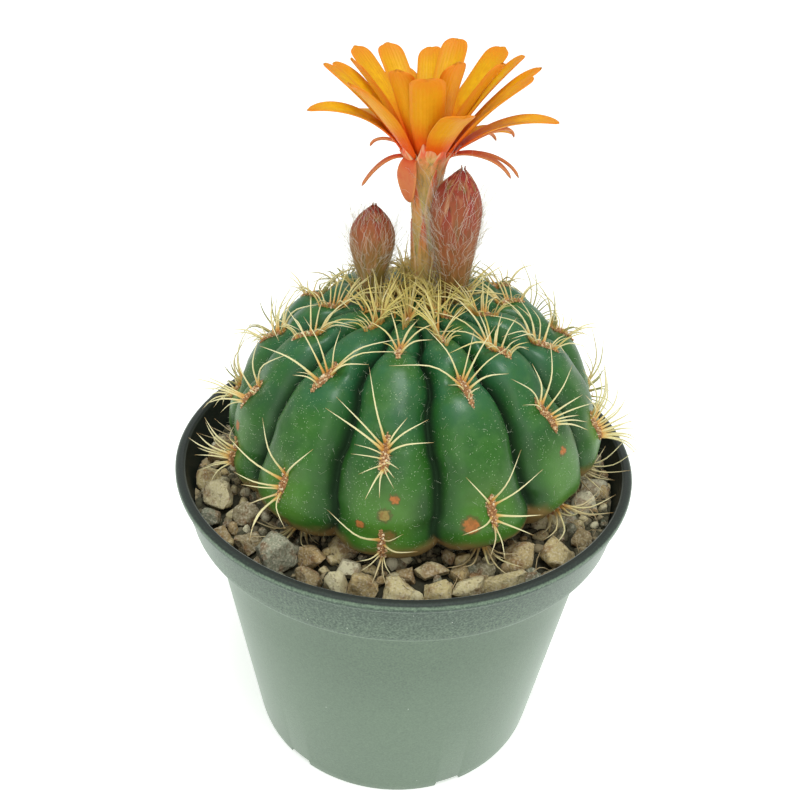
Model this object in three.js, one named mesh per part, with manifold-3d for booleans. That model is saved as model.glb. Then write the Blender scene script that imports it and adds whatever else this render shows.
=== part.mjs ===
// A round ribbed cactus in bloom, growing in a round plastic pot.
// Millimetres, +Z up, the pot's foot stands on z = 0 and its axis is the Z axis.
// Azimuth 0 is the front (-Y) and grows towards +X.

import * as THREE from 'three';
import { mergeVertices } from 'three/addons/utils/BufferGeometryUtils.js';
import Module from 'manifold-3d';

const wasm = await Module();
wasm.setup();

// Pot
const POT_HEIGHT = 89.2;
const POT_RIM_RADIUS = 60;
const POT_LIP_WIDTH = 2.5;
const POT_WALL = 1.5;
const POT_FLOOR = 1.6;
const POT_BASE_RADIUS = 42.7;
const POT_WAIST_RADIUS = 52.7;
const COLLAR_RADIUS = 57.1;
const COLLAR_Z = 75.1;
const COLLAR_WALL = 1.3;
const FOOT_HEIGHT = 2.2;
const FOOT_WIDTH = 3.2;
const FOOT_NOTCHES = 6;
const FOOT_NOTCH_WIDTH = 7;
const FIRST_NOTCH_AZIMUTH = 22;
const DRAIN_HOLES = 6;
const DRAIN_HOLE_RADIUS = 4;
const DRAIN_RING_RADIUS = 31;
const POT_EDGE = 0.5;
const LIP_DEPTH = 2;
const LEDGE_LIFT = 0.6;
const LEDGE_RISE = 1.2;
const POT_SEGMENTS = 36;

// Soil and gravel
const GAP = 0.3;
const SOIL_TOP = 77.2;
const BED_THICKNESS = 1.8;
const GRAVEL_SEED = 41;
const STONE_MIN = 7.4;
const STONE_MAX = 9.6;
const STONE_SPACING = 6.4;
const STONE_ROOM = 0.36;
const STONE_RINGS = [41, 46.5, 52];
const STONE_LIFT = 0.2;
const FRONT_STONE_LIFT = 0.26;
const STONE_SWELL = 0.3;
const STONE_LENGTHENING = 1.08;
const STONE_FLATTENING = 0.8;
const FILL_STONE_STRETCH = 0.9;
const RING_WOBBLE = 2.4;
const ROOT_HOLE_MARGIN = 1.6;

// Cactus body: the ridge's outline from the root's end to the crown, as radius and height
const BODY_CENTRE = new THREE.Vector3(2.4, 4.75, 91.8);
const BODY_LEAN_X = -0.05;
const BODY_LEAN_Y = -0.04;
const ROOT_RADIUS = 7;
const ROOT_END_Z = 63;
const RIDGE_OUTLINE = [
  [0, ROOT_END_Z], [4.5, ROOT_END_Z + 1.5], [ROOT_RADIUS, 71], [ROOT_RADIUS + 1, 77.5], [14, 80],
  [26, 80.8], [37, 83], [44.2, 86.6], [48.1, 90.6], [49.1, 94.2], [48.6, 98], [46.9, 103.8],
  [43.9, 110.2], [39.8, 116], [34.6, 121.2], [28.3, 125.4], [20.9, 128], [12.1, 128.9],
  [5, 128.1], [0, 127.7],
];
const COLUMNS_PER_RIB = 4;
const BODY_ROWS = 22;
const ROOT_ROWS_SHARE = 0.16;
const ROOT_LENGTH_SHARE = 0.3;
const CREASE_DEPTH = 6;
const CREASE_SHARPNESS = 2.3;
const CREASE_WAVE = 0.09;
const CREASE_OPENS_AT = [2, 24];
const CREASE_CLOSES_AT = [66, 90];
const NOTCH_DEPTH = 0.9;
const NOTCH_LENGTH = 4.5;
const NOTCH_OPENS_AT = [10, 30];

// Each rib's azimuth, and its areoles as distances from the crown's centre down the ridge
const RIBS = [
  { azimuth: -91, areoles: [20, 38, 58, 79] },
  { azimuth: -69, areoles: [9, 27, 48, 66] },
  { azimuth: -39, areoles: [14.5, 33, 60, 80] },
  { azimuth: -8, areoles: [9, 21.5, 47, 69] },
  { azimuth: 22, areoles: [18, 33, 62, 80] },
  { azimuth: 49, areoles: [10, 27, 46, 75] },
  { azimuth: 74, areoles: [18, 34, 61, 79] },
  { azimuth: 102, areoles: [9, 25, 43, 67] },
  { azimuth: 130, areoles: [15, 31, 53, 76] },
  { azimuth: 157, areoles: [10, 22, 44, 70] },
  { azimuth: 185, areoles: [16, 30, 51, 74] },
  { azimuth: 213, areoles: [9, 24, 41, 64] },
  { azimuth: 241, areoles: [15, 31, 54, 77] },
];
const AREOLE_HALF_LENGTH = 2.64;
const AREOLE_HALF_WIDTH = 0.83;

// Spines
const SPINE_SEED = 7;
const SPINE_ANGLES = [0, 52, -55, 102, -106, 170];
const SPINE_SIDES = 3;
const SPINE_RADIUS = 0.36;
const SPINE_ROOT_SWELL = 1.7;
const SPINE_MIDDLE_SWELL = 1.1;
const SPINE_LONG = 17;
const SPINE_SHORT = 8.5;
const SPINE_BENT_LENGTH = 12.2;
const SPINE_LENGTH_SPREAD = 0.3;
const SPINE_ANGLE_SPREAD = 22;
const SPINE_TILT = 58;
const SPINE_TILT_SPREAD = 18;
const SPINE_ATTEMPTS = 8;
const CROWN_ENDS_AT = [12, 34];
const CROWN_SHORTENING = 0.32;
const CROWN_UPTURN = 20;
const SPINE_BEND = 0.14;
const SPINE_ROOT_DEPTH = 1.6;
const SPINE_FOOT_SINK = -0.5;
const SPINE_CLEARANCE = 0.9;
const TUBE_ROOM = 5.2;
const LARGE_BUD_ROOM = 7.8;
const SMALL_BUD_ROOM = 7;
const RIM_CLEAR_Z = 92;
const RIM_CLEAR_SPREAD = 3;
const SPINE_REACH = 59.4;

// Flower
const TUBE_FOOT = new THREE.Vector3(3.3, 13, 124.5);
const TUBE_TOP = new THREE.Vector3(2.2, 11.1, 161);
const TUBE_RADII = [3.3, 3, 3, 3.4, 4.8];
const CORE_HEIGHT = 5;
const CORE_RADIUS = 5.2;
const CORE_FLARE = 0.6;
const CORE_WALL = 2;
const CORE_FLOOR_SHARE = 0.4;
const STEM_SIDES = 12;
const TUBE_ROWS = 8;
const BUD_ROWS = 12;
const COROLLA_CENTRE = new THREE.Vector3(2, 11, 166.5);
const PETAL_THICKNESS = 0.75;
const PETAL_RING_RADIUS = 4.3;
const SEPAL_RING_RADIUS = 3.4;

// Each petal's tip as seen from the corolla's centre: azimuth, rise and distance, then width and arch
const INNER_PETALS = [
  [-2, 41, 27.5, 6.8, 0.03], [-20, 44, 27.5, 5.4, 0.04], [17, 49, 27.5, 5.4, 0.04],
  [62, 48, 26, 5.2, 0.05], [103, 41, 28.5, 5.4, 0.06], [122, 44, 28, 6.2, 0.06],
  [161, 44, 28, 5.8, 0.05], [179, 37, 28, 5.4, 0.06], [-151, 40, 28, 5.8, 0.06],
  [-127, 39, 28.5, 5.2, 0.06], [-70, 46, 26, 5.4, 0.05],
];
const OUTER_PETALS = [
  [20, 27, 24, 6.8, 0.1], [71, 35, 28.5, 5.2, 0.06], [91, 35, 30, 5, 0.07],
  [142, 30, 27, 5.2, 0.1], [168, 26, 27, 5.4, 0.1], [-165, 27, 27, 5.4, 0.1],
  [-115, 31, 28.5, 5, 0.08], [-94, 34, 28.6, 4.8, 0.06], [-46, 34, 28, 5.8, 0.06],
];
const SPREAD_PETALS = [
  [84, 13, 30.4, 5.4, 0.15], [127, -3, 27, 4.4, 0.2],
  [-139, 4, 27, 4.4, 0.18], [-84, 11, 28.4, 4.4, 0.15],
];
const SEPALS = [
  [84, -19, 20, 4, 0.2], [98, -17, 22.5, 2, 0.24], [176, -24, 18, 3.8, 0.22],
  [-125, -16, 18, 2.4, 0.24], [-88, -26, 17, 3.4, 0.22], [-47, -69, 14.6, 6.2, 0.2],
];
const INNER_TIP_SHARE = 0.84;
const OUTER_TIP_SHARE = 0.8;
const SPREAD_TIP_SHARE = 0.55;
const SEPAL_TIP_SHARE = 0.35;
const PETAL_CUP = 0.35;
const SEPAL_DROP = 1.2;
const INNER_PETAL_RISE = 3.4;
const OUTER_PETAL_RISE = 2.2;
const SPREAD_PETAL_RISE = 1;
const DISC_RADIUS = 2.3;
const DISC_HEIGHT = 1.3;
const STAMENS = 12;
const STAMEN_LENGTH = 9;
const STAMEN_RADIUS = 0.3;
const STAMEN_RING_RADIUS = 1.6;
const STAMEN_TILT = 0.12;
const STYLE_LENGTH = 11.5;
const STYLE_RADIUS = 0.5;
const STIGMA_LOBES = 6;
const STIGMA_LOBE_RADIUS = 0.35;
const STIGMA_SPREAD = 1.6;
const STIGMA_RISE = 1.8;

// Blades: how wide they are at the foot, where they reach full width, and how thin their edge is
const BLADE_FOOT_SHARE = 0.36;
const BLADE_FULL_SHARE = 0.62;
const BLADE_HEEL_STEEPNESS = 12;
const BLADE_EDGE_SHARE = 0.2;
const BLADE_LENS_SHARE = 0.577;

// Buds: the stem's line from foot to tip and the radius along it
const LARGE_BUD_LINE = [[10.9, 7.8, 123.5], [10.3, 6.2, 136], [9.6, 4, 151], [10.3, 3.6, 161.2]];
const LARGE_BUD_RADII = [3.1, 3.3, 3.5, 4.2, 5.3, 6.2, 6.1, 4.5, 2.1];
const SMALL_BUD_LINE = [[-9.8, 7.2, 123.5], [-10, 7.6, 133], [-10, 8, 143.5], [-9.7, 8, 150.8]];
const SMALL_BUD_RADII = [2.5, 2.5, 2.7, 3.5, 4.7, 5.5, 5.3, 3.7, 1.7];
const BUD_TIP_LENGTH = 1.2;
const SCALE_THICKNESS = 0.8;
const SCALE_CUP = 0.5;
const SCALE_TIP_SHARE = 0.3;
const SCALE_FOOT_SINK = 0.3;
const SCALE_TIP_LIFT = 0.5;
const TUBE_SCALES = { count: 8, first: 0.3, last: 0.7, length: 9, width: 2.6 };
const LARGE_BUD_SCALES = { count: 8, first: 0.34, last: 0.74, length: 11, width: 3.4 };
const SMALL_BUD_SCALES = { count: 6, first: 0.34, last: 0.74, length: 8, width: 3.4 };
const FRONT_SCALE = { share: 0.68, azimuth: -8, length: 12, width: 4.6 };
const GOLDEN_ANGLE = 137.5;

// A small repeatable random number source, even from 0 to 1
function makeRandom(seed) {
  let state = seed;
  return () => {
    state = (state * 1664525 + 1013904223) % 4294967296;
    return state / 4294967296;
  };
}

function outwardAt(azimuthDegrees) {
  const angle = THREE.MathUtils.degToRad(azimuthDegrees);
  return new THREE.Vector3(Math.sin(angle), -Math.cos(angle), 0);
}

// Reads a list of values spread evenly over 0 to 1, with a smooth curve between them
function smoothValue(values, t) {
  const curve = new THREE.SplineCurve(values.map((value, i) => new THREE.Vector2(i, value)));
  return curve.getPoint(t).y;
}

// A welded copy of a geometry, ready for joining and cutting
function toSolid(geometry) {
  const bare = geometry.clone();
  bare.deleteAttribute('normal');
  bare.deleteAttribute('uv');
  const welded = mergeVertices(bare, 1e-4);
  const vertProperties = new Float32Array(welded.attributes.position.array);
  const triVerts = new Uint32Array(welded.index.array);
  if (signedVolume(vertProperties, triVerts) < 0) {
    for (let i = 0; i < triVerts.length; i += 3) {
      [triVerts[i], triVerts[i + 1]] = [triVerts[i + 1], triVerts[i]];
    }
  }
  return new wasm.Manifold(new wasm.Mesh({ numProp: 3, vertProperties, triVerts }));
}

function signedVolume(vertices, triangles) {
  const corners = [new THREE.Vector3(), new THREE.Vector3(), new THREE.Vector3()];
  let volume = 0;
  for (let i = 0; i < triangles.length; i += 3) {
    corners.forEach((corner, j) => corner.fromArray(vertices, triangles[i + j] * 3));
    volume += corners[0].dot(corners[1].cross(corners[2])) / 6;
  }
  return volume;
}

function toGeometry(solid) {
  const mesh = solid.getMesh();
  const geometry = new THREE.BufferGeometry();
  const positions = new Float32Array(mesh.numVert * 3);
  for (let i = 0; i < mesh.numVert; i += 1) {
    for (let axis = 0; axis < 3; axis += 1) {
      positions[i * 3 + axis] = mesh.vertProperties[i * mesh.numProp + axis];
    }
  }
  geometry.setAttribute('position', new THREE.BufferAttribute(positions, 3));
  geometry.setIndex(new THREE.BufferAttribute(new Uint32Array(mesh.triVerts), 1));
  geometry.computeVertexNormals();
  return geometry;
}

// Joins a list of solids two by two, so that small ones meet before large ones
function fuse(solids) {
  let level = solids;
  while (level.length > 1) {
    const next = [];
    for (let i = 0; i < level.length; i += 2) {
      next.push(i + 1 < level.length ? level[i].add(level[i + 1]) : level[i]);
    }
    level = next;
  }
  return level[0];
}

// Wraps a sphere's grid round a form: place(t, angle) runs from one end (t = 0) to the other
function wrapped(sides, rows, place) {
  const geometry = new THREE.SphereGeometry(1, sides, rows);
  const position = geometry.attributes.position;
  for (let i = 0; i < position.count; i += 1) {
    const row = Math.floor(i / (sides + 1));
    const column = (i % (sides + 1)) % sides;
    const point = place(row / rows, (column / sides) * Math.PI * 2, column);
    position.setXYZ(i, point.x, point.y, point.z);
  }
  return toSolid(geometry);
}

function lathe(points, segments) {
  const geometry = new THREE.LatheGeometry(points.map(([r, z]) => new THREE.Vector2(r, z)), segments);
  geometry.rotateX(Math.PI / 2);
  return toSolid(geometry);
}

function uprightCylinder(radius, height, x, y, centreZ, segments) {
  const geometry = new THREE.CylinderGeometry(radius, radius, height, segments);
  geometry.rotateX(Math.PI / 2);
  geometry.translate(x, y, centreZ);
  return toSolid(geometry);
}

// Pot: one lathed shell, with notches in its foot ring and drain holes in its floor
const INNER_RIM_RADIUS = POT_RIM_RADIUS - POT_LIP_WIDTH;
const INNER_COLLAR_RADIUS = COLLAR_RADIUS - COLLAR_WALL;
const LEDGE_Z = COLLAR_Z + LEDGE_LIFT;
const INNER_WAIST_RADIUS = POT_WAIST_RADIUS - POT_WALL;
const INNER_BASE_RADIUS = POT_BASE_RADIUS - POT_WALL + GAP;
const FLOOR_TOP = FOOT_HEIGHT + POT_FLOOR;
const INNER_WALL = [
  [INNER_BASE_RADIUS, FLOOR_TOP],
  [INNER_WAIST_RADIUS, LEDGE_Z],
  [INNER_COLLAR_RADIUS, LEDGE_Z + LEDGE_RISE],
  [INNER_RIM_RADIUS, POT_HEIGHT - LIP_DEPTH],
];

function buildPot() {
  let pot = lathe([
    [0, FOOT_HEIGHT],
    [POT_BASE_RADIUS - FOOT_WIDTH - POT_EDGE, FOOT_HEIGHT],
    [POT_BASE_RADIUS - FOOT_WIDTH, 0],
    [POT_BASE_RADIUS - POT_EDGE, 0],
    [POT_BASE_RADIUS, POT_EDGE],
    [POT_WAIST_RADIUS, COLLAR_Z - POT_EDGE],
    [COLLAR_RADIUS - POT_EDGE, COLLAR_Z],
    [COLLAR_RADIUS, COLLAR_Z + POT_EDGE],
    [POT_RIM_RADIUS - POT_EDGE, POT_HEIGHT - LIP_DEPTH],
    [POT_RIM_RADIUS, POT_HEIGHT - POT_EDGE],
    [POT_RIM_RADIUS - POT_EDGE, POT_HEIGHT],
    [INNER_RIM_RADIUS + POT_EDGE, POT_HEIGHT],
    [INNER_RIM_RADIUS, POT_HEIGHT - POT_EDGE],
    ...INNER_WALL.toReversed(),
    [0, FLOOR_TOP],
  ], POT_SEGMENTS);
  for (let i = 0; i < FOOT_NOTCHES; i += 1) {
    const notch = new THREE.BoxGeometry(FOOT_NOTCH_WIDTH, FOOT_WIDTH * 3, (FOOT_HEIGHT - POT_EDGE) * 2);
    notch.translate(0, -POT_BASE_RADIUS, 0);
    notch.rotateZ(THREE.MathUtils.degToRad(FIRST_NOTCH_AZIMUTH + (360 / FOOT_NOTCHES) * i));
    pot = pot.subtract(toSolid(notch));
  }
  for (let i = 0; i < DRAIN_HOLES; i += 1) {
    const spot = outwardAt((360 / DRAIN_HOLES) * i).multiplyScalar(DRAIN_RING_RADIUS);
    pot = pot.subtract(uprightCylinder(DRAIN_HOLE_RADIUS, POT_FLOOR * 4, spot.x, spot.y, FLOOR_TOP, 8));
  }
  return pot;
}

// The room inside the pot, kept a small gap clear of its wall
function potRoom(bottomZ, topZ) {
  const wall = [...INNER_WALL, [INNER_RIM_RADIUS, POT_HEIGHT * 2]];
  const bend = 0.1;
  const radiusAt = (z) => {
    const i = wall.findIndex((point, n) => n > 0 && z <= point[1]);
    const share = (z - wall[i - 1][1]) / (wall[i][1] - wall[i - 1][1]);
    return THREE.MathUtils.lerp(wall[i - 1][0], wall[i][0], share) - GAP;
  };
  const between = wall.filter(([, z]) => z > bottomZ && z < topZ);
  const side = [
    [radiusAt(bottomZ), bottomZ],
    ...between.map(([r, z]) => [r - GAP - bend, z]),
    [radiusAt(topZ), topZ],
  ];
  return lathe([[0, bottomZ], ...side, [0, topZ]], POT_SEGMENTS);
}

// Cactus body
const ridgeCurve = new THREE.SplineCurve(RIDGE_OUTLINE.map(([r, z]) => new THREE.Vector2(r, z)));
ridgeCurve.arcLengthDivisions = 800;
const RIDGE_LENGTH = ridgeCurve.getLength();

// How many areoles a rib has passed at a distance from the crown, with the part of the next step
function areoleCount(ribIndex, fromCrown) {
  const { areoles } = RIBS[ribIndex];
  const last = areoles.length - 2;
  const after = areoles.findIndex((distance) => distance > fromCrown);
  const i = THREE.MathUtils.clamp(after < 0 ? last : after - 1, 0, last);
  return i + (fromCrown - areoles[i]) / (areoles[i + 1] - areoles[i]);
}

function ribWidth(ribIndex, fromCrown) {
  return 1 - CREASE_WAVE * Math.cos(areoleCount(ribIndex, fromCrown) * Math.PI * 2);
}

// The crease after a rib, which bows towards the narrower of the two ribs beside it
function creaseAzimuth(ribIndex, fromCrown) {
  const here = (ribIndex + RIBS.length) % RIBS.length;
  const next = (here + 1) % RIBS.length;
  const gap = (RIBS[next].azimuth - RIBS[here].azimuth + 360) % 360;
  const bow = (ribWidth(here, fromCrown) - ribWidth(next, fromCrown)) / 2;
  return RIBS[here].azimuth + gap * (0.5 + bow / 2);
}

// across runs from -1 at the crease on one side of the rib, over 0 at its ridge, to 1
function bodyAzimuth(ribIndex, across, fromCrown) {
  const ridge = RIBS[ribIndex].azimuth;
  if (across >= 0) {
    return ridge + (creaseAzimuth(ribIndex, fromCrown) - ridge) * across;
  }
  const before = (creaseAzimuth(ribIndex - 1, fromCrown) - ridge - 720) % 360;
  return ridge - before * across;
}

function creaseDepth(u) {
  const fromCrown = (1 - u) * RIDGE_LENGTH;
  const crownShare = THREE.MathUtils.smoothstep(fromCrown, ...CREASE_OPENS_AT);
  const underside = THREE.MathUtils.smoothstep(fromCrown, ...CREASE_CLOSES_AT);
  return CREASE_DEPTH * crownShare * (1 - underside);
}

function notchDepth(ribIndex, fromCrown) {
  const nearest = Math.min(...RIBS[ribIndex].areoles.map((distance) => Math.abs(distance - fromCrown)));
  const faded = THREE.MathUtils.smoothstep(fromCrown, ...NOTCH_OPENS_AT);
  return NOTCH_DEPTH * faded * Math.exp(-((nearest / NOTCH_LENGTH) ** 2));
}

function bodyPoint(ribIndex, across, u, grow = 0) {
  const fromCrown = (1 - u) * RIDGE_LENGTH;
  const onRidge = ridgeCurve.getPointAt(u);
  const tangent = ridgeCurve.getTangentAt(u);
  const creaseSink = creaseDepth(u) * Math.abs(across) ** CREASE_SHARPNESS;
  const notchSink = notchDepth(ribIndex, fromCrown) * (1 - across ** 2) ** 2;
  const shift = grow - creaseSink - notchSink;
  const radius = Math.max(onRidge.x + tangent.y * shift, 0);
  const height = onRidge.y - tangent.x * shift;
  const outward = outwardAt(bodyAzimuth(ribIndex, across, fromCrown));
  const x = outward.x * radius;
  const y = outward.y * radius;
  const rise = height - BODY_CENTRE.z;
  return new THREE.Vector3(
    BODY_CENTRE.x + x + BODY_LEAN_X * rise,
    BODY_CENTRE.y + y + BODY_LEAN_Y * rise,
    height - BODY_LEAN_X * x - BODY_LEAN_Y * y,
  );
}

function bodySolid(grow) {
  const sides = RIBS.length * COLUMNS_PER_RIB;
  return wrapped(sides, BODY_ROWS, (t, angle, column) => {
    const u = bodyRowPosition(t);
    const ribIndex = Math.floor(column / COLUMNS_PER_RIB);
    const across = ((column % COLUMNS_PER_RIB) / COLUMNS_PER_RIB) * 2 - 1;
    if (t === 0 || t === 1) {
      const end = bodyPoint(0, 0, t);
      end.z += t === 0 ? -grow : grow;
      return end;
    }
    return bodyPoint(ribIndex, across, u, grow);
  });
}

// Rows lie closer together above the soil than on the root
function bodyRowPosition(t) {
  if (t < ROOT_ROWS_SHARE) {
    return (t / ROOT_ROWS_SHARE) * ROOT_LENGTH_SHARE;
  }
  const aboveRoot = (t - ROOT_ROWS_SHARE) / (1 - ROOT_ROWS_SHARE);
  return THREE.MathUtils.lerp(ROOT_LENGTH_SHARE, 1, aboveRoot);
}

// The surface's own directions at an areole: out of it, up the ridge and across the rib
function areoleFrame(ribIndex, fromCrown) {
  const u = 1 - fromCrown / RIDGE_LENGTH;
  const step = 0.5 / RIDGE_LENGTH;
  const centre = bodyPoint(ribIndex, 0, u);
  const above = bodyPoint(ribIndex, 0, Math.min(u + step, 1));
  const up = above.sub(bodyPoint(ribIndex, 0, u - step)).normalize();
  const side = outwardAt(RIBS[ribIndex].azimuth + 90);
  const out = new THREE.Vector3().crossVectors(up, side).negate().normalize();
  return { centre, up, side, out, fromCrown };
}

function areoleFrames() {
  return RIBS.flatMap(({ areoles }, ribIndex) => (
    areoles.map((distance) => areoleFrame(ribIndex, distance))
  ));
}

// Stems that spines keep clear of, as lines with a radius
function stemLines() {
  const asVectors = (line) => line.map((point) => new THREE.Vector3(...point));
  return [
    { points: [TUBE_FOOT, TUBE_TOP], radius: TUBE_ROOM },
    { points: asVectors(LARGE_BUD_LINE), radius: LARGE_BUD_ROOM },
    { points: asVectors(SMALL_BUD_LINE), radius: SMALL_BUD_ROOM },
  ];
}

// The least distance between two lines of points, from samples along the first
function lineDistance(firstPoints, secondPoints) {
  const samples = 8;
  const onFirst = new THREE.Vector3();
  const onSecond = new THREE.Vector3();
  const segments = secondPoints.slice(1).map((end, i) => new THREE.Line3(secondPoints[i], end));
  let nearest = Infinity;
  firstPoints.slice(1).forEach((end, i) => {
    for (let n = 0; n <= samples; n += 1) {
      onFirst.lerpVectors(firstPoints[i], end, n / samples);
      segments.forEach((segment) => {
        segment.closestPointToPoint(onFirst, true, onSecond);
        nearest = Math.min(nearest, onFirst.distanceTo(onSecond));
      });
    }
  });
  return nearest;
}

function isClear(spine, placed, stems) {
  const wholeLine = [spine.root, spine.middle, spine.tip];
  if (stems.some(({ points, radius }) => lineDistance(wholeLine, points) < radius)) {
    return false;
  }
  const freeLine = ({ start, middle, tip }) => [start, middle, tip];
  return !placed.some((other) => (
    lineDistance(freeLine(spine), freeLine(other)) < SPINE_CLEARANCE
  ));
}

function spineLine(frame, angleDegrees, random) {
  const angle = THREE.MathUtils.degToRad(angleDegrees + (random() - 0.5) * SPINE_ANGLE_SPREAD);
  const upward = (1 + Math.cos(angle)) / 2;
  const crownShare = 1 - THREE.MathUtils.smoothstep(frame.fromCrown, ...CROWN_ENDS_AT);
  const tiltDegrees = SPINE_TILT - CROWN_UPTURN * crownShare + (random() - 0.5) * SPINE_TILT_SPREAD;
  const tilt = THREE.MathUtils.degToRad(tiltDegrees);
  const growth = 1 + (random() - 0.5) * SPINE_LENGTH_SPREAD;
  const fullLength = THREE.MathUtils.lerp(SPINE_SHORT, SPINE_LONG, upward) * growth;
  const length = fullLength * (1 - CROWN_SHORTENING * crownShare);
  const across = frame.side.clone().multiplyScalar(Math.sin(angle));
  across.addScaledVector(frame.up, Math.cos(angle));
  const start = frame.centre.clone();
  start.addScaledVector(frame.side, Math.sin(angle) * AREOLE_HALF_WIDTH);
  start.addScaledVector(frame.up, Math.cos(angle) * AREOLE_HALF_LENGTH);
  start.addScaledVector(frame.out, -SPINE_FOOT_SINK);
  const direction = frame.out.clone().multiplyScalar(Math.cos(tilt)).addScaledVector(across, Math.sin(tilt));
  const root = start.clone().addScaledVector(frame.out, -SPINE_ROOT_DEPTH);
  const tip = start.clone().addScaledVector(direction, length);
  tip.z += SPINE_BEND * length;
  if (tip.z < RIM_CLEAR_Z) {
    tip.z = RIM_CLEAR_Z + random() * RIM_CLEAR_SPREAD;
  }
  const reach = Math.hypot(tip.x, tip.y);
  if (reach > SPINE_REACH) {
    tip.multiply(new THREE.Vector3(SPINE_REACH / reach, SPINE_REACH / reach, 1));
  }
  const middle = start.clone().addScaledVector(direction, length / 2);
  middle.z = Math.max(middle.z, (start.z + tip.z) / 2);
  return { root, start, middle, tip };
}

function spineSolid({ root, middle, tip }) {
  const rows = tip.distanceTo(root) > SPINE_BENT_LENGTH ? 2 : 1;
  const geometry = new THREE.ConeGeometry(1, 1, SPINE_SIDES, rows);
  const position = geometry.attributes.position;
  const line = tip.clone().sub(root).normalize();
  const first = new THREE.Vector3(0, 0, 1).cross(line).normalize();
  const second = line.clone().cross(first);
  const stations = rows === 2 ? [root, middle, tip] : [root, tip];
  for (let i = 0; i < position.count; i += 1) {
    const station = Math.round((position.getY(i) + 0.5) * rows);
    const point = stations[station].clone();
    const radius = SPINE_RADIUS * (station === 0 ? SPINE_ROOT_SWELL : SPINE_MIDDLE_SWELL);
    point.addScaledVector(first, position.getX(i) * radius);
    point.addScaledVector(second, position.getZ(i) * radius);
    position.setXYZ(i, point.x, point.y, point.z);
  }
  return toSolid(geometry);
}

function buildBody(frames) {
  const random = makeRandom(SPINE_SEED);
  const stems = stemLines();
  const placed = [];
  frames.forEach((frame) => {
    SPINE_ANGLES.forEach((angle) => {
      for (let attempt = 0; attempt < SPINE_ATTEMPTS; attempt += 1) {
        const spine = spineLine(frame, angle, random);
        if (isClear(spine, placed, stems)) {
          placed.push(spine);
          break;
        }
      }
    });
  });
  const spines = fuse(placed.map(spineSolid));
  return bodySolid(0).add(spines);
}

// Gravel: the stones that lie round the plant, each as azimuth, radius, size and stretch
const FRONT_STONES = [
  [-10, 49.4, 7, 0.95], [0, 49.6, 8.6, 0.85], [9.5, 50, 6.8, 0.9], [18.5, 50, 8.4, 0.75],
  [29.5, 51.2, 9, 0.7], [-24.5, 50.2, 6.8, 0.9], [-17, 49.2, 6.2, 1], [-37, 48.6, 9.6, 1],
  [-48.5, 50.4, 6, 0.9], [-60, 46.5, 6, 1], [-72.5, 50, 8.6, 0.8], [-82, 52, 6.4, 0.9],
  [-94, 51.6, 7.2, 0.9], [39, 46.8, 7.6, 0.85], [48.5, 50.6, 8.6, 1], [-65, 53, 5.2, 0.9],
  [67, 52, 5, 0.9], [79, 53, 5, 0.9],
];

function stoneSolid(spot, size, stretch, isLarge, random) {
  const Form = isLarge ? THREE.IcosahedronGeometry : THREE.OctahedronGeometry;
  const stone = new Form(size / 2, 0);
  stone.deleteAttribute('normal');
  stone.deleteAttribute('uv');
  const welded = mergeVertices(stone);
  const position = welded.attributes.position;
  for (let i = 0; i < position.count; i += 1) {
    const swell = 1 + (random() - 0.5) * STONE_SWELL;
    position.setXYZ(i, position.getX(i) * swell, position.getY(i) * swell, position.getZ(i) * swell);
  }
  const turn = new THREE.Euler(random() * 6, random() * 6, random() * 6);
  welded.applyMatrix4(new THREE.Matrix4().makeRotationFromEuler(turn));
  welded.scale(STONE_LENGTHENING, stretch, STONE_FLATTENING);
  welded.rotateZ(Math.atan2(spot.y, spot.x) + Math.PI / 2 + (random() - 0.5));
  welded.translate(spot.x, spot.y, spot.z);
  return toSolid(welded);
}

function stoneSpots(random) {
  const bedTop = SOIL_TOP + GAP + BED_THICKNESS;
  const spots = FRONT_STONES.map(([azimuth, radius, size, stretch]) => {
    const spot = outwardAt(azimuth).multiplyScalar(radius).setZ(bedTop + size * FRONT_STONE_LIFT);
    return { spot, size, stretch, isLarge: true };
  });
  STONE_RINGS.forEach((ringRadius) => {
    const count = Math.floor((Math.PI * 2 * ringRadius) / STONE_SPACING);
    for (let i = 0; i < count; i += 1) {
      const size = STONE_MIN + (STONE_MAX - STONE_MIN) * random() ** 1.5;
      const radius = ringRadius + (random() - 0.5) * RING_WOBBLE;
      const azimuth = ((i + random() * 0.6) / count) * 360;
      const spot = outwardAt(azimuth).multiplyScalar(radius).setZ(bedTop + size * STONE_LIFT);
      const isFree = spots.every((other) => (
        other.spot.distanceTo(spot) > (other.size + size) * STONE_ROOM
      ));
      if (isFree) {
        spots.push({ spot, size, stretch: FILL_STONE_STRETCH, isLarge: false });
      }
    }
  });
  return spots;
}

function buildGravel(keepOut) {
  const random = makeRandom(GRAVEL_SEED);
  const bedBottom = SOIL_TOP + GAP;
  const stones = stoneSpots(random).map(({ spot, size, stretch, isLarge }) => (
    stoneSolid(spot, size, stretch, isLarge, random)
  ));
  const bed = potRoom(bedBottom, bedBottom + BED_THICKNESS);
  const inside = potRoom(bedBottom, POT_HEIGHT + STONE_MAX / 2);
  return fuse([bed, ...stones]).intersect(inside).subtract(keepOut);
}

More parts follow.
